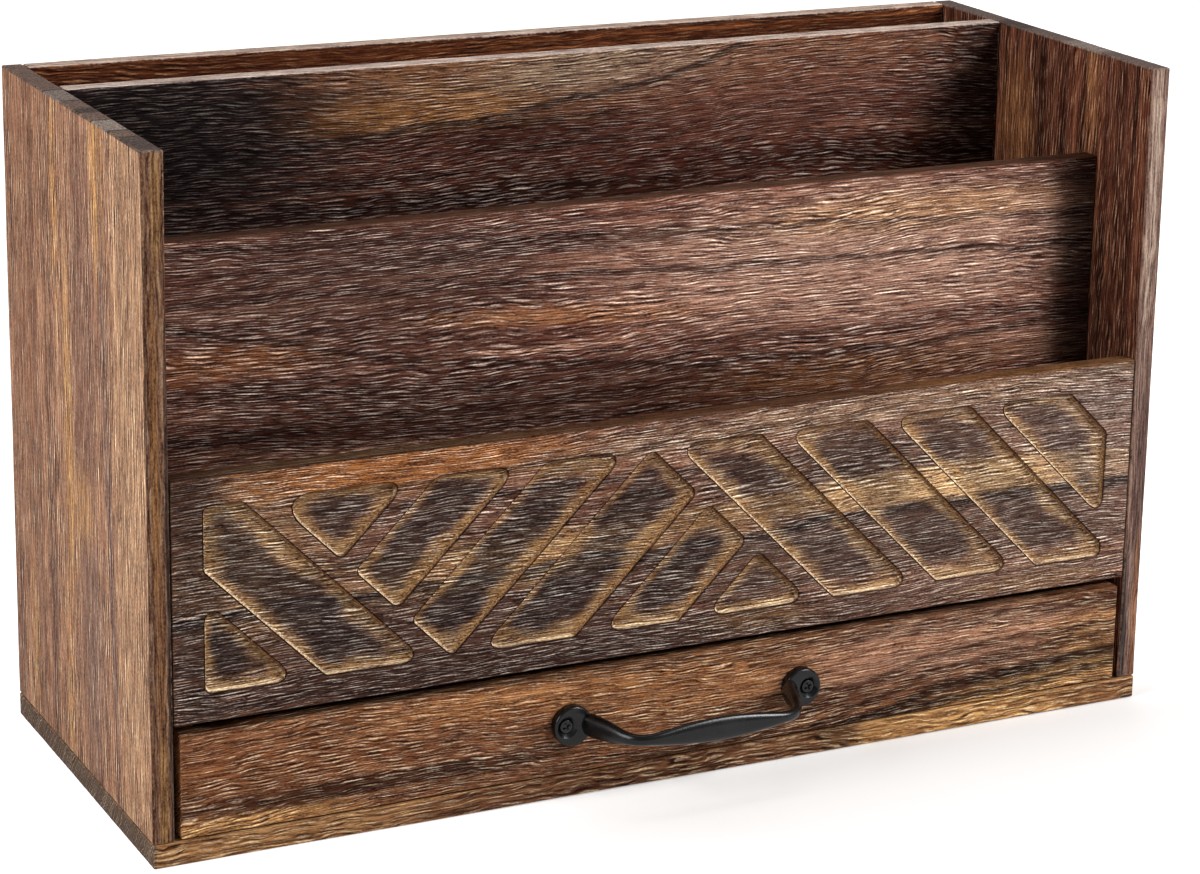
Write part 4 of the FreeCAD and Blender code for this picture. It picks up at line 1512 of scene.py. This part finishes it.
DRAWER_WOOD = TorchedWood(
    "drawer_front_torched", "drawer_wood", Grain.LEVEL,
    light="#9a6743", middle="#66402b", dark="#2c180f", pore_and_glint="#efd4b6", seed=41.0,
    sway=5.0, pitch=6.5, fineness=1.25, dashes=0.95, glint_lift=2.4, threads=0.9, hair=1.2,
    mottle=0.3, grit=0.26,
    patches=(
        wide("#7a4a2c", -150, 34, 70, 12, 0.55, ragged=1.6),
        wide("#b38350", -168, 12, 34, 3.5, 0.75, ragged=1.6),
        wide("#2f180f", -115, 18, 80, 3.6, 0.85, ragged=1.8),
        wide("#9c683f", -60, 41, 60, 5, 0.65, ragged=1.6),
        wide("#8a5a36", 15, 32, 60, 12, 0.5, ragged=1.6),
        wide("#98705c", 112, 34, 62, 11, 0.65, ragged=1.6),
        wide("#bb8a55", 155, 13, 52, 5, 0.8, ragged=1.2, tilt=0.09),
        wide("#ad7f50", 180, 30, 20, 8, 0.5, ragged=1.4),
        wide("#3a2018", 40, 20, 40, 6, 0.5, ragged=1.6),
    ),
    rings=(Ring("#24120b", 120, 18, 0.13, -0.0008, width=3.2, share=0.95),
           Ring("#3a1e12", 100, 22, 0.2, -0.0012, width=1.8, share=0.8),
           Ring("#3a1e12", 85, 26, 0.22, -0.0014, width=1.6, share=0.75),
           Ring("#24120b", 160, 15, 0.07, width=1.8, share=0.9)),
    arris="#a97c50", arris_share=0.25, roughness=0.48, relief=0.5)

SHELF_WOOD = TorchedWood(
    "shelf_torched", "inner_wood", Grain.FLAT,
    light="#6a4330", middle="#47281b", dark="#25120c", pore_and_glint="#98745c", seed=47.0)

BOX_WOOD = TorchedWood(
    "drawer_box_torched", "inner_wood", Grain.DEEP,
    light="#9c6a40", middle="#71462b", dark="#42261a", pore_and_glint="#cda57e", seed=53.0)

BOX_BACK_WOOD = TorchedWood(
    "drawer_back_torched", "inner_wood", Grain.LEVEL,
    light="#9c6a40", middle="#71462b", dark="#42261a", pore_and_glint="#cda57e", seed=59.0)

FLOOR_WOOD = TorchedWood(
    "drawer_floor_torched", "floor_wood", Grain.FLAT,
    light="#956640", middle="#6d462e", dark="#43281b", pore_and_glint="#c8a27b", seed=61.0)


# ---------------------------------------------------------------- the carved panel

@dataclass(frozen=True)
class CarvedPanel:
    """The front panel: a board with coved pockets between straight ribs."""

    board: Board
    layout: RibLayout = RibLayout()
    depth: float = 2.0 * MM
    cove: float = 1.85 * MM
    proud: float = 1.0 * MM
    corner: float = 2.6 * MM
    tip_corner: float = 3.8 * MM
    tip_angle: float = math.radians(60)
    wide_corner: float = 6.5 * MM
    arris: float = 0.5 * MM
    least_edge: float = 2.5 * MM
    least_area: float = 150 * MM * MM
    corner_steps: int = 7
    cove_steps: int = 6
    arris_steps: int = 2
    rim_angle: float = math.radians(20)
    wall_from: float = 0.3
    wall_to: float = 0.8
    floor_to: float = 1.2
    # the direction of the light painted on the pocket walls
    bright_side: Point = (0.55, 0.0, 0.83)
    reach: float = 7.0 * MM

    def outline(self, gap: Gap) -> Piece | None:
        """The flat outline of one pocket, cut from the whole field by its ribs.

        Args:
            gap: the gap's limits, from the layout.

        Returns:
            The outline as a flat piece at the pocket's floor, or None where nothing is left.
        """
        low, high = self.layout.field()
        floor = low.y + self.depth
        deselect()
        bpy.ops.mesh.primitive_plane_add(
            size=1, location=((low.x + high.x) / 2, floor, (low.z + high.z) / 2),
            rotation=(math.pi / 2, 0, 0))
        piece = bpy.context.object
        piece.scale = (high.x - low.x, high.z - low.z, 1)
        settle("pocket_cutter")
        half_rib = self.layout.rib / 2 * math.sqrt(2)
        falling_low, falling_high, rising_low, rising_high = gap
        cuts = ((falling_low + half_rib, (-1, 0, -1)), (falling_high - half_rib, (1, 0, 1)),
                (rising_low + half_rib, (-1, 0, 1)), (rising_high - half_rib, (1, 0, -1)))
        with editing(piece):
            for foot, outward in cuts:
                bpy.ops.mesh.select_all(action="SELECT")
                bpy.ops.mesh.bisect(plane_co=(foot, floor, low.z), plane_no=outward,
                                    clear_outer=True, threshold=TOUCHING)
        if sum(face.area for face in piece.data.polygons) < self.least_area:
            bpy.data.objects.remove(piece)
            return None
        self.round_corners(piece, high.z, gap)
        return piece

    def round_corners(self, piece: Piece, top: float, gap: Gap) -> None:
        """Round an outline's corners as the cutter leaves them.

        Args:
            piece: the flat outline.
            top: the height of the field's upper edge.
            gap: the gap's limits; between rising ribs, the upper left corners are wide.
        """
        def neighbours(vertex: bmesh.types.BMVert) -> list[Vector]:
            """Where the two vertices beside one lie."""
            return [edge.other_vert(vertex).co for edge in vertex.link_edges]

        def angle_at(vertex: bmesh.types.BMVert) -> float:
            """The angle between the two edges that meet at a vertex."""
            first, second = (place - vertex.co for place in neighbours(vertex))
            return first.angle(second)

        def is_wide(vertex: bmesh.types.BMVert) -> bool:
            """Whether a vertex is the upper left corner of a pocket between rising ribs.

            Args:
                vertex: a corner of the outline.

            Returns:
                Whether its corner is cut wide.
            """
            beside = [place.x for place in neighbours(vertex) if abs(place.z - top) < CLOSE]
            return (gap[3] < self.layout.far and abs(vertex.co.z - top) < CLOSE
                    and min(beside, default=vertex.co.x) > vertex.co.x)

        with editing(piece):
            bpy.ops.mesh.select_all(action="SELECT")
            bpy.ops.mesh.remove_doubles(threshold=self.least_edge)
            mesh = bmesh.from_edit_mesh(piece.data)
            corners = [(vertex.co.copy(), angle_at(vertex), is_wide(vertex))
                       for vertex in mesh.verts]
            for place, angle, wide_one in corners:
                radius = self.tip_corner if angle < self.tip_angle else self.corner
                radius = self.wide_corner if wide_one else radius
                pick("VERT", lambda vertex: (vertex.co - place).length < CLOSE)
                bpy.ops.mesh.bevel(offset=radius / math.tan(angle / 2),
                                   segments=self.corner_steps, affect="VERTICES",
                                   clamp_overlap=False)

    def cutter(self, gap: Gap) -> Piece | None:
        """The round-nosed solid that one pocket is cut with.

        Args:
            gap: the gap's limits.

        Returns:
            The cutter, or None where the gap holds no pocket.
        """
        piece = self.outline(gap)
        if piece is None:
            return None
        floor = piece.data.vertices[0].co.y
        with editing(piece):
            bpy.ops.mesh.select_all(action="SELECT")
            bpy.ops.mesh.extrude_region_move(
                TRANSFORM_OT_translate={"value": (0, -self.depth - self.proud, 0)})
            close_up()
            pick_level_edges(floor)
            bpy.ops.mesh.bevel(offset=self.cove, segments=self.cove_steps, affect="EDGES",
                               clamp_overlap=False)
        return piece

    def note_shape(self, piece: Piece) -> None:
        """Keep for the finish how deep each point lies, in millimetres, and how much it faces
        the light that the finish paints.

        A point on a pocket's floor keeps how much the nearest wall faces that light, less the
        farther it is.

        Args:
            piece: the carved panel, before its relief.
        """
        face = self.layout.field()[0].y
        finish = self.board.finish
        points = piece.data.vertices
        depths = [(vertex.co.y - face) / MM for vertex in points]
        light_facings = [vertex.normal.dot(Vector(self.bright_side)) for vertex in points]
        deep = self.depth / MM
        walls = [index for index, depth in enumerate(depths)
                 if self.wall_from * deep < depth < self.wall_to * deep]
        tree = KDTree(len(walls))
        for index in walls:
            tree.insert(points[index].co, index)
        tree.balance()
        for index, depth in enumerate(depths):
            if self.wall_to * deep <= depth < self.floor_to * deep:
                _, wall, away = tree.find(points[index].co)
                light_facings[index] = light_facings[wall] * max(0.0, 1.0 - away / self.reach)
        for name, values in ((finish.depth_name, depths), (finish.light_facing_name, light_facings)):
            noted = piece.data.attributes.new(name, "FLOAT", "POINT")
            noted.data.foreach_set("value", values)

    def ease_pockets(self, piece: Piece) -> None:
        """Ease the edges where the pockets meet the panel's face.

        Args:
            piece: the carved panel.
        """
        low, high = self.layout.field()

        def is_rim(edge: bmesh.types.BMEdge) -> bool:
            """Whether an edge is where a pocket starts in the panel's face.

            Args:
                edge: an edge of the carved panel.

            Returns:
                Whether it is to be eased.
            """
            return (all(abs(vertex.co.y - low.y) < EXACT
                        and low.x - MM < vertex.co.x < high.x + MM
                        and low.z - MM < vertex.co.z < high.z + MM for vertex in edge.verts)
                    and edge.calc_face_angle(0.0) > self.rim_angle)

        with editing(piece):
            pick("EDGE", is_rim)
            bpy.ops.mesh.bevel(offset=self.arris, segments=self.arris_steps,
                               affect="EDGES", clamp_overlap=False)

    def build(self, groups: Groups) -> Piece:
        """Make the panel.

        Args:
            groups: the shared node groups.

        Returns:
            The finished piece.
        """
        piece = self.board.block()
        cutters = [made for made in map(self.cutter, self.layout.gaps()) if made]
        LOG.info("carved pockets: %d", len(cutters))
        activate(cutters[0])
        for made in cutters:
            made.select_set(True)
        bpy.ops.object.join()
        carve(piece, cutters[0], "DIFFERENCE")
        self.ease_pockets(piece)
        self.board.grid(piece)
        self.note_shape(piece)
        return self.board.dress(piece, groups)


# ---------------------------------------------------------------- the pull

@dataclass(frozen=True)
class Pull:
    """The cast pull: two round feet and a bow that flattens into a grip."""

    finish: BlackIron
    foot_diameter: float = 15 * MM
    foot_thick: float = 3.5 * MM
    foot_round: float = 0.8 * MM
    grip_height: float = 10 * MM
    grip_thick: float = 3.4 * MM
    shoulder_offset: float = 17 * MM
    neck_height: float = 4 * MM
    root_height: float = 9.4 * MM
    root_thick: float = 6.6 * MM
    root_inset: float = 4.5 * MM
    lean: float = math.radians(20)
    bend_radius: float = 8 * MM
    screw_outset: float = 2.5 * MM
    countersink: float = 8.2 * MM
    bore: float = 3.0 * MM
    arris: float = 0.22 * MM
    arris_angle: float = math.radians(40)
    root_shares: tuple[float, ...] = (0.05, 0.35, 0.7, 1.0)
    root_taper: float = 2.8
    bend_height: float = 1.2
    bend_thick: float = 1.15
    bend_swell: float = 1.05
    shoulder_swell: float = 0.56
    bow_sides: int = 20
    foot_sides: int = 72
    foot_steps: int = 4
    hole_sides: int = 64

    def middle(self) -> Vector:
        """The point on the drawer's face behind the middle of the pull."""
        low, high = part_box("pull_handle")
        return Vector(((low[0] + high[0]) / 2, high[1], (low[2] + high[2]) / 2))

    def half_span(self) -> float:
        """From the pull's middle to the centre of a foot."""
        low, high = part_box("pull_handle")
        return (high[0] - low[0] - self.foot_diameter) / 2

    def reach(self) -> float:
        """From the drawer's face to the middle of the grip."""
        low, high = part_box("pull_handle")
        return high[1] - low[1] - self.grip_thick / 2

    def stations(self) -> list[tuple[float, float, float, float, float]]:
        """The bow's cross-sections from the right foot to its middle.

        Returns:
            For each, the offset from the middle, the distance in front of the drawer, the
            path's turn from straight out, and the section's height and thickness.
        """
        reach = self.reach()
        root = self.half_span() - self.root_inset
        bend_start = reach - self.bend_radius * (1 - math.sin(self.lean))
        slope = math.tan(self.lean)
        made = []
        lower = self.bend_height * self.neck_height - self.root_height
        thinner = self.bend_thick * self.grip_thick - self.root_thick
        for share in self.root_shares:
            out = share * bend_start
            height = self.root_height + lower * share ** self.root_taper
            thick = self.root_thick + thinner * share
            made.append((root - out * slope, out, self.lean, height, thick))
        centre_x = root - bend_start * slope - self.bend_radius * math.cos(self.lean)
        for turn, swell in (((math.pi / 2 + self.lean) / 2, self.bend_swell),
                            (math.pi / 2, 1.0)):
            made.append((centre_x + self.bend_radius * math.cos(turn),
                         reach - self.bend_radius * (1 - math.sin(turn)), turn,
                         swell * self.neck_height, swell * self.grip_thick))
        height = self.neck_height + self.shoulder_swell * (self.grip_height
                                                           - self.neck_height)
        made.append((self.shoulder_offset, reach, math.pi / 2, height, self.grip_thick))
        made.append((0.0, reach, math.pi / 2, self.grip_height, self.grip_thick))
        return made

    def bow(self) -> Piece:
        """The bow, drawn out of one circle section by section.

        Returns:
            The new piece.
        """
        half = self.stations()
        path = half + [(-offset, out, math.pi - turn, height, thick)
                       for offset, out, turn, height, thick in half[-2::-1]]
        middle = self.middle()
        offset, out, turn, height, thick = path[0]
        deselect()
        bpy.ops.mesh.primitive_circle_add(
            vertices=self.bow_sides, radius=0.5, fill_type="NGON",
            rotation=(math.pi / 2, 0, -turn), location=middle + Vector((offset, -out, 0)))
        bpy.context.object.scale = (thick, height, 1)
        piece = settle("pull_bow")
        with editing(piece):
            bpy.ops.mesh.select_all(action="SELECT")
            for before, after in zip(path, path[1:]):
                centre = middle + Vector((after[0], -after[1], 0))
                bpy.ops.mesh.extrude_region_move(TRANSFORM_OT_translate={
                    "value": (after[0] - before[0], before[1] - after[1], 0)})
                bpy.ops.transform.rotate(value=after[2] - before[2], orient_axis="Z",
                                         center_override=centre)
                thicker, taller = after[4] / before[4], after[3] / before[3]
                bpy.ops.transform.resize(value=(thicker, thicker, taller),
                                         center_override=centre)
            close_up()
        finish_modifier(piece, "SUBSURF", levels=2, render_levels=2)
        return piece

    def foot(self, side: int) -> Piece:
        """One foot, its front rim rounded.

        Args:
            side: -1 for the left foot, 1 for the right.

        Returns:
            The new piece.
        """
        back = self.middle() + Vector((side * self.half_span(), 0, 0))
        deselect()
        bpy.ops.mesh.primitive_cylinder_add(
            vertices=self.foot_sides, radius=self.foot_diameter / 2, depth=self.foot_thick,
            location=back - Vector((0, self.foot_thick / 2, 0)), rotation=(math.pi / 2, 0, 0))
        piece = settle("pull_foot")
        with editing(piece):
            pick_level_edges(back.y - self.foot_thick)
            bpy.ops.mesh.bevel(offset=self.foot_round, segments=self.foot_steps,
                               affect="EDGES")
        return piece

    def screw_hole(self, side: int) -> Piece:
        """The countersunk hole through a foot, as a solid to cut with.

        Args:
            side: -1 for the left foot, 1 for the right.

        Returns:
            The new piece.
        """
        place = self.middle() + Vector((side * (self.half_span() + self.screw_outset), 0, 0))
        front = place.y - self.foot_thick
        piece = add_disc("pull_screw_hole", self.hole_sides, self.countersink / 2,
                         Vector((place.x, front - MM, place.z)))
        with editing(piece):
            bpy.ops.mesh.select_all(action="SELECT")
            grow(MM)
            grow((self.countersink - self.bore) / 2, self.bore / self.countersink)
            grow(self.foot_thick)
            close_up()
        return piece

    def build(self) -> Piece:
        """Make the whole pull.

        Returns:
            The finished piece.
        """
        piece = self.bow()
        for side in (-1, 1):
            carve(piece, self.foot(side), "UNION")
        for side in (-1, 1):
            carve(piece, self.screw_hole(side), "DIFFERENCE")
        piece.name = "pull"
        finish_modifier(piece, "BEVEL", width=self.arris, segments=2, limit_method="ANGLE",
                        angle_limit=self.arris_angle, use_clamp_overlap=True)
        smooth(piece, 40.0)
        piece.data.materials.append(self.finish.material())
        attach(piece, "drawer")
        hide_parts("pull_handle")
        LOG.info("pull: %d faces", len(piece.data.polygons))
        return piece


@dataclass(frozen=True)
class PullScrews:
    """The two countersunk screws, each with a cross recess."""

    finish: BlackIron
    head_diameter: float = 4.9 * MM
    shank_diameter: float = 2.8 * MM
    rim: float = 0.4 * MM
    length: float = 9 * MM
    slot_length: float = 3.4 * MM
    slot_width: float = 1.0 * MM
    slot_depth: float = 0.9 * MM
    slot_foot: Point = (0.45, 1.0, 0.7)
    turn: float = math.radians(27)
    sides: int = 48
    tip_share: float = 0.25
    tip_narrow: float = 0.3
    arris: float = 0.18 * MM

    def centres(self) -> list[Vector]:
        """Where the screws sit.

        Returns:
            The middle of each head's front, the left screw first.
        """
        low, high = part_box("handle_screws")
        inset = self.head_diameter / 2
        height = (low[2] + high[2]) / 2
        return [Vector((low[0] + inset, low[1], height)),
                Vector((high[0] - inset, low[1], height))]

    def blank(self, place: Vector) -> Piece:
        """A screw turned from one circle: rim, cone, shank and tip.

        Args:
            place: the middle of the head's front.

        Returns:
            The new piece.
        """
        piece = add_disc("pull_screw", self.sides, self.head_diameter / 2, place)
        cone = (self.head_diameter - self.shank_diameter) / 2
        shank = self.length - self.rim - cone
        with editing(piece):
            bpy.ops.mesh.select_all(action="SELECT")
            grow(self.rim)
            grow(cone, self.shank_diameter / self.head_diameter)
            grow((1 - self.tip_share) * shank)
            grow(self.tip_share * shank, self.tip_narrow)
            close_up()
            pick_level_edges(place.y, EXACT)
            bpy.ops.mesh.bevel(offset=self.arris, segments=3, affect="EDGES")
        return piece

    def cut_recess(self, piece: Piece, place: Vector) -> None:
        """Cut the cross recess, its slots narrower at their foot.

        Args:
            piece: the screw.
            place: the middle of the head's front.
        """
        for quarter in (0, 1):
            deselect()
            bpy.ops.mesh.primitive_cube_add(
                size=1, location=place + Vector((0, self.slot_depth / 2 - CLOSE, 0)))
            slot = bpy.context.object
            slot.scale = (self.slot_length, self.slot_depth, self.slot_width)
            settle("recess")
            deepest = place.y + self.slot_depth / 2
            with editing(slot):
                pick("FACE", lambda face: face.calc_center_median().y > deepest)
                bpy.ops.transform.resize(value=self.slot_foot)
                bpy.ops.mesh.select_all(action="SELECT")
                bpy.ops.transform.rotate(value=self.turn + quarter * math.pi / 2,
                                         orient_axis="Y", center_override=place)
            carve(piece, slot, "DIFFERENCE")

    def build(self) -> list[Piece]:
        """Make one screw and copy it.

        Returns:
            The two pieces.
        """
        left, right = self.centres()
        first = self.blank(left)
        self.cut_recess(first, left)
        smooth(first, 30.0)
        first.data.materials.append(self.finish.material())
        activate(first)
        bpy.ops.object.duplicate()
        second = bpy.context.object
        second.location = right - left
        bpy.ops.object.transform_apply(location=True, rotation=False, scale=False)
        for piece, name in ((first, "left_pull_screw"), (second, "right_pull_screw")):
            piece.name = name
            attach(piece, "drawer")
            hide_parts("handle_screws")
            LOG.info("%s: %d faces", name, len(piece.data.polygons))
        return [first, second]


# ---------------------------------------------------------------- the studio

@dataclass(frozen=True)
class SoftBox:
    """A square studio lamp."""

    name: str
    place: Point
    aim: Point
    size: float
    power: float
    colour: tuple[float, float, float] = (1.0, 1.0, 1.0)

    def build(self) -> None:
        """Hang the lamp."""
        lamp = bpy.data.lights.new(self.name, "AREA")
        lamp.shape = "SQUARE"
        lamp.size = self.size
        lamp.energy = self.power
        lamp.color = self.colour
        stand = bpy.data.objects.new(self.name, lamp)
        bpy.context.scene.collection.objects.link(stand)
        stand.location = self.place
        aim = Vector(self.aim) - Vector(self.place)
        stand.rotation_euler = aim.to_track_quat("-Z", "Y").to_euler()


@dataclass(frozen=True)
class Studio:
    """The pale floor, the lamps, the white surroundings and the camera."""

    image_width: float = 1200
    image_height: float = 874
    focal: float = 3427.2
    axis: tuple[float, float] = (657.4, 315.5)
    eye: Point = (-0.5402, -1.1110, 0.4879)
    right: Point = (0.8927, -0.4501, 0.0206)
    down: Point = (-0.0991, -0.2408, -0.9655)
    sensor: float = 36.0
    surround: float = 0.32
    floor_size: float = 12.0
    floor_sink: float = 0.2 * MM
    floor_tones: tuple[str, str] = ("#efeeee", "#f3f2f1")
    cloud_size: float = 3.0
    floor_glow: float = 0.04
    far_glow: float = 0.75
    shade_middle: Point = (0.12, -0.12, 0.0)
    shade_reach: Point = (3.6, 13.0, 1.0)
    shade_edge: tuple[float, float] = (0.4, 1.4)
    lamps: tuple[SoftBox, ...] = (
        SoftBox("key_lamp", (0.95, -1.15, 0.95), (0, 0, 0.1), 0.5, 25),
        SoftBox("left_lamp", (-1.7, -0.35, 0.8), (-0.2, 0, 0.1), 0.9, 21),
        SoftBox("top_lamp", (0.1, 0.4, 1.5), (0, 0, 0.15), 1.1, 6),
    )

    def add_camera(self) -> None:
        """Place the camera by its measured axes and framing."""
        lens = bpy.data.cameras.new("camera")
        lens.sensor_width = self.sensor
        lens.lens = self.focal / self.image_width * self.sensor
        lens.shift_x = (self.image_width / 2 - self.axis[0]) / self.image_width
        lens.shift_y = (self.axis[1] - self.image_height / 2) / self.image_width
        camera = bpy.data.objects.new("camera", lens)
        bpy.context.scene.collection.objects.link(camera)
        side = Vector(self.right).normalized()
        up = -Vector(self.down)
        back = side.cross(up).normalized()
        up = back.cross(side)
        turn = Matrix((side, up, back)).transposed().to_4x4()
        camera.matrix_world = Matrix.Translation(self.eye) @ turn
        bpy.context.scene.camera = camera

    def add_world(self) -> None:
        """White where the camera looks, and an even soft light elsewhere."""
        world = bpy.data.worlds.new("surround")
        bpy.context.scene.world = world
        world.use_nodes = True
        desk = NodeDesk(world.node_tree)
        ray = desk.add("ShaderNodeLightPath").outputs["Is Camera Ray"]
        strength = desk.line(ray, 1.0 - self.surround, self.surround)
        background = world.node_tree.nodes["Background"]
        background.inputs["Color"].default_value = (1.0, 1.0, 1.0, 1.0)
        desk.feed(background.inputs["Strength"], strength)

    def add_floor(self) -> None:
        """The pale floor, which keeps the shadow in front of the case and glows for the camera
        farther off, painted light that whitens the shadows there.
        """
        deselect()
        bpy.ops.mesh.primitive_plane_add(size=self.floor_size,
                                         location=(0, 0, -self.floor_sink))
        floor = settle("studio_floor")
        material = bpy.data.materials.new("pale_floor")
        material.use_nodes = True
        desk = NodeDesk(material.node_tree)
        shader = material.node_tree.nodes["Principled BSDF"]
        found = desk.add("ShaderNodeTexCoord").outputs["Object"]
        cloud = desk.streaks(found, self.cloud_size, self.cloud_size)
        desk.feed(shader.inputs["Base Color"],
                  desk.mix(cloud, *(tone(code) for code in self.floor_tones)))
        shader.inputs["Roughness"].default_value = 0.75
        shader.inputs["Specular IOR Level"].default_value = 0.1
        # painted light: the floor glows for the camera, faintly in front of the case, where the
        # shadow stays, and strongly farther off
        ray = desk.add("ShaderNodeLightPath").outputs["Is Camera Ray"]
        away = desk.vector("SUBTRACT", found, self.shade_middle)
        away = desk.vector("LENGTH", desk.vector("MULTIPLY", away, self.shade_reach))
        glow = desk.line(desk.step(away, *self.shade_edge), self.far_glow, self.floor_glow)
        shader.inputs["Emission Color"].default_value = (1.0, 1.0, 1.0, 1.0)
        desk.feed(shader.inputs["Emission Strength"], desk.times(ray, glow))
        floor.data.materials.append(material)

    def build(self) -> None:
        """Set the whole studio."""
        scene = bpy.context.scene
        scene.view_settings.view_transform = "Standard"
        self.add_camera()
        self.add_world()
        self.add_floor()
        for lamp in self.lamps:
            lamp.build()


# ---------------------------------------------------------------- the sorter

@dataclass(frozen=True)
class Case:
    """The case: its boards, and the carved panel of the front slot."""

    boards: tuple[Board, ...] = (
        Board("bottom_board", "case", BASE_WOOD),
        Board("left_side", "case", LEFT_SIDE_WOOD),
        Board("right_side", "case", RIGHT_SIDE_WOOD),
        Board("back_panel", "case", BACK_WOOD),
        Board("rear_divider", "case", REAR_DIVIDER_WOOD),
        Board("front_divider", "case", FRONT_DIVIDER_WOOD),
    )
    panel: CarvedPanel = CarvedPanel(Board("front_panel", "case", PANEL_WOOD))

    def build(self, groups: Groups) -> None:
        """Make the case.

        Args:
            groups: the shared node groups.
        """
        for board in self.boards:
            board.build(groups)
        self.panel.build(groups)
        dress_node("drawer_shelf", SHELF_WOOD, groups)


@dataclass(frozen=True)
class Drawer:
    """The drawer: its front, its box, the pull and the screws."""

    front: Board = Board("drawer_front", "drawer", DRAWER_WOOD)
    pull: Pull = Pull(BlackIron("pull_black_iron", "black_iron"))
    screws: PullScrews = PullScrews(BlackIron("screw_black", "black_screw", "#0e0e0f",
                                              "#2a2a2c", grain_size=0.5, relief=0.08))

    def build(self, groups: Groups) -> None:
        """Make the drawer.

        Args:
            groups: the shared node groups.
        """
        self.front.build(groups)
        for node in ("drawer_left_side", "drawer_right_side"):
            dress_node(node, BOX_WOOD, groups)
        dress_node("drawer_back", BOX_BACK_WOOD, groups)
        dress_node("drawer_floor", FLOOR_WOOD, groups)
        self.pull.build()
        self.screws.build()


def main() -> None:
    """Build the studio and the sorter."""
    logging.basicConfig(level=logging.INFO, format="%(message)s")
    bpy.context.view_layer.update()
    Studio().build()
    groups = Groups()
    Case().build(groups)
    Drawer().build(groups)
    for node in ("base_dowels", "left_side_dowels", "right_side_dowels", "drawer_dowels"):
        dress_node(node, BOX_WOOD, groups)


if __name__ == "__main__":
    main()
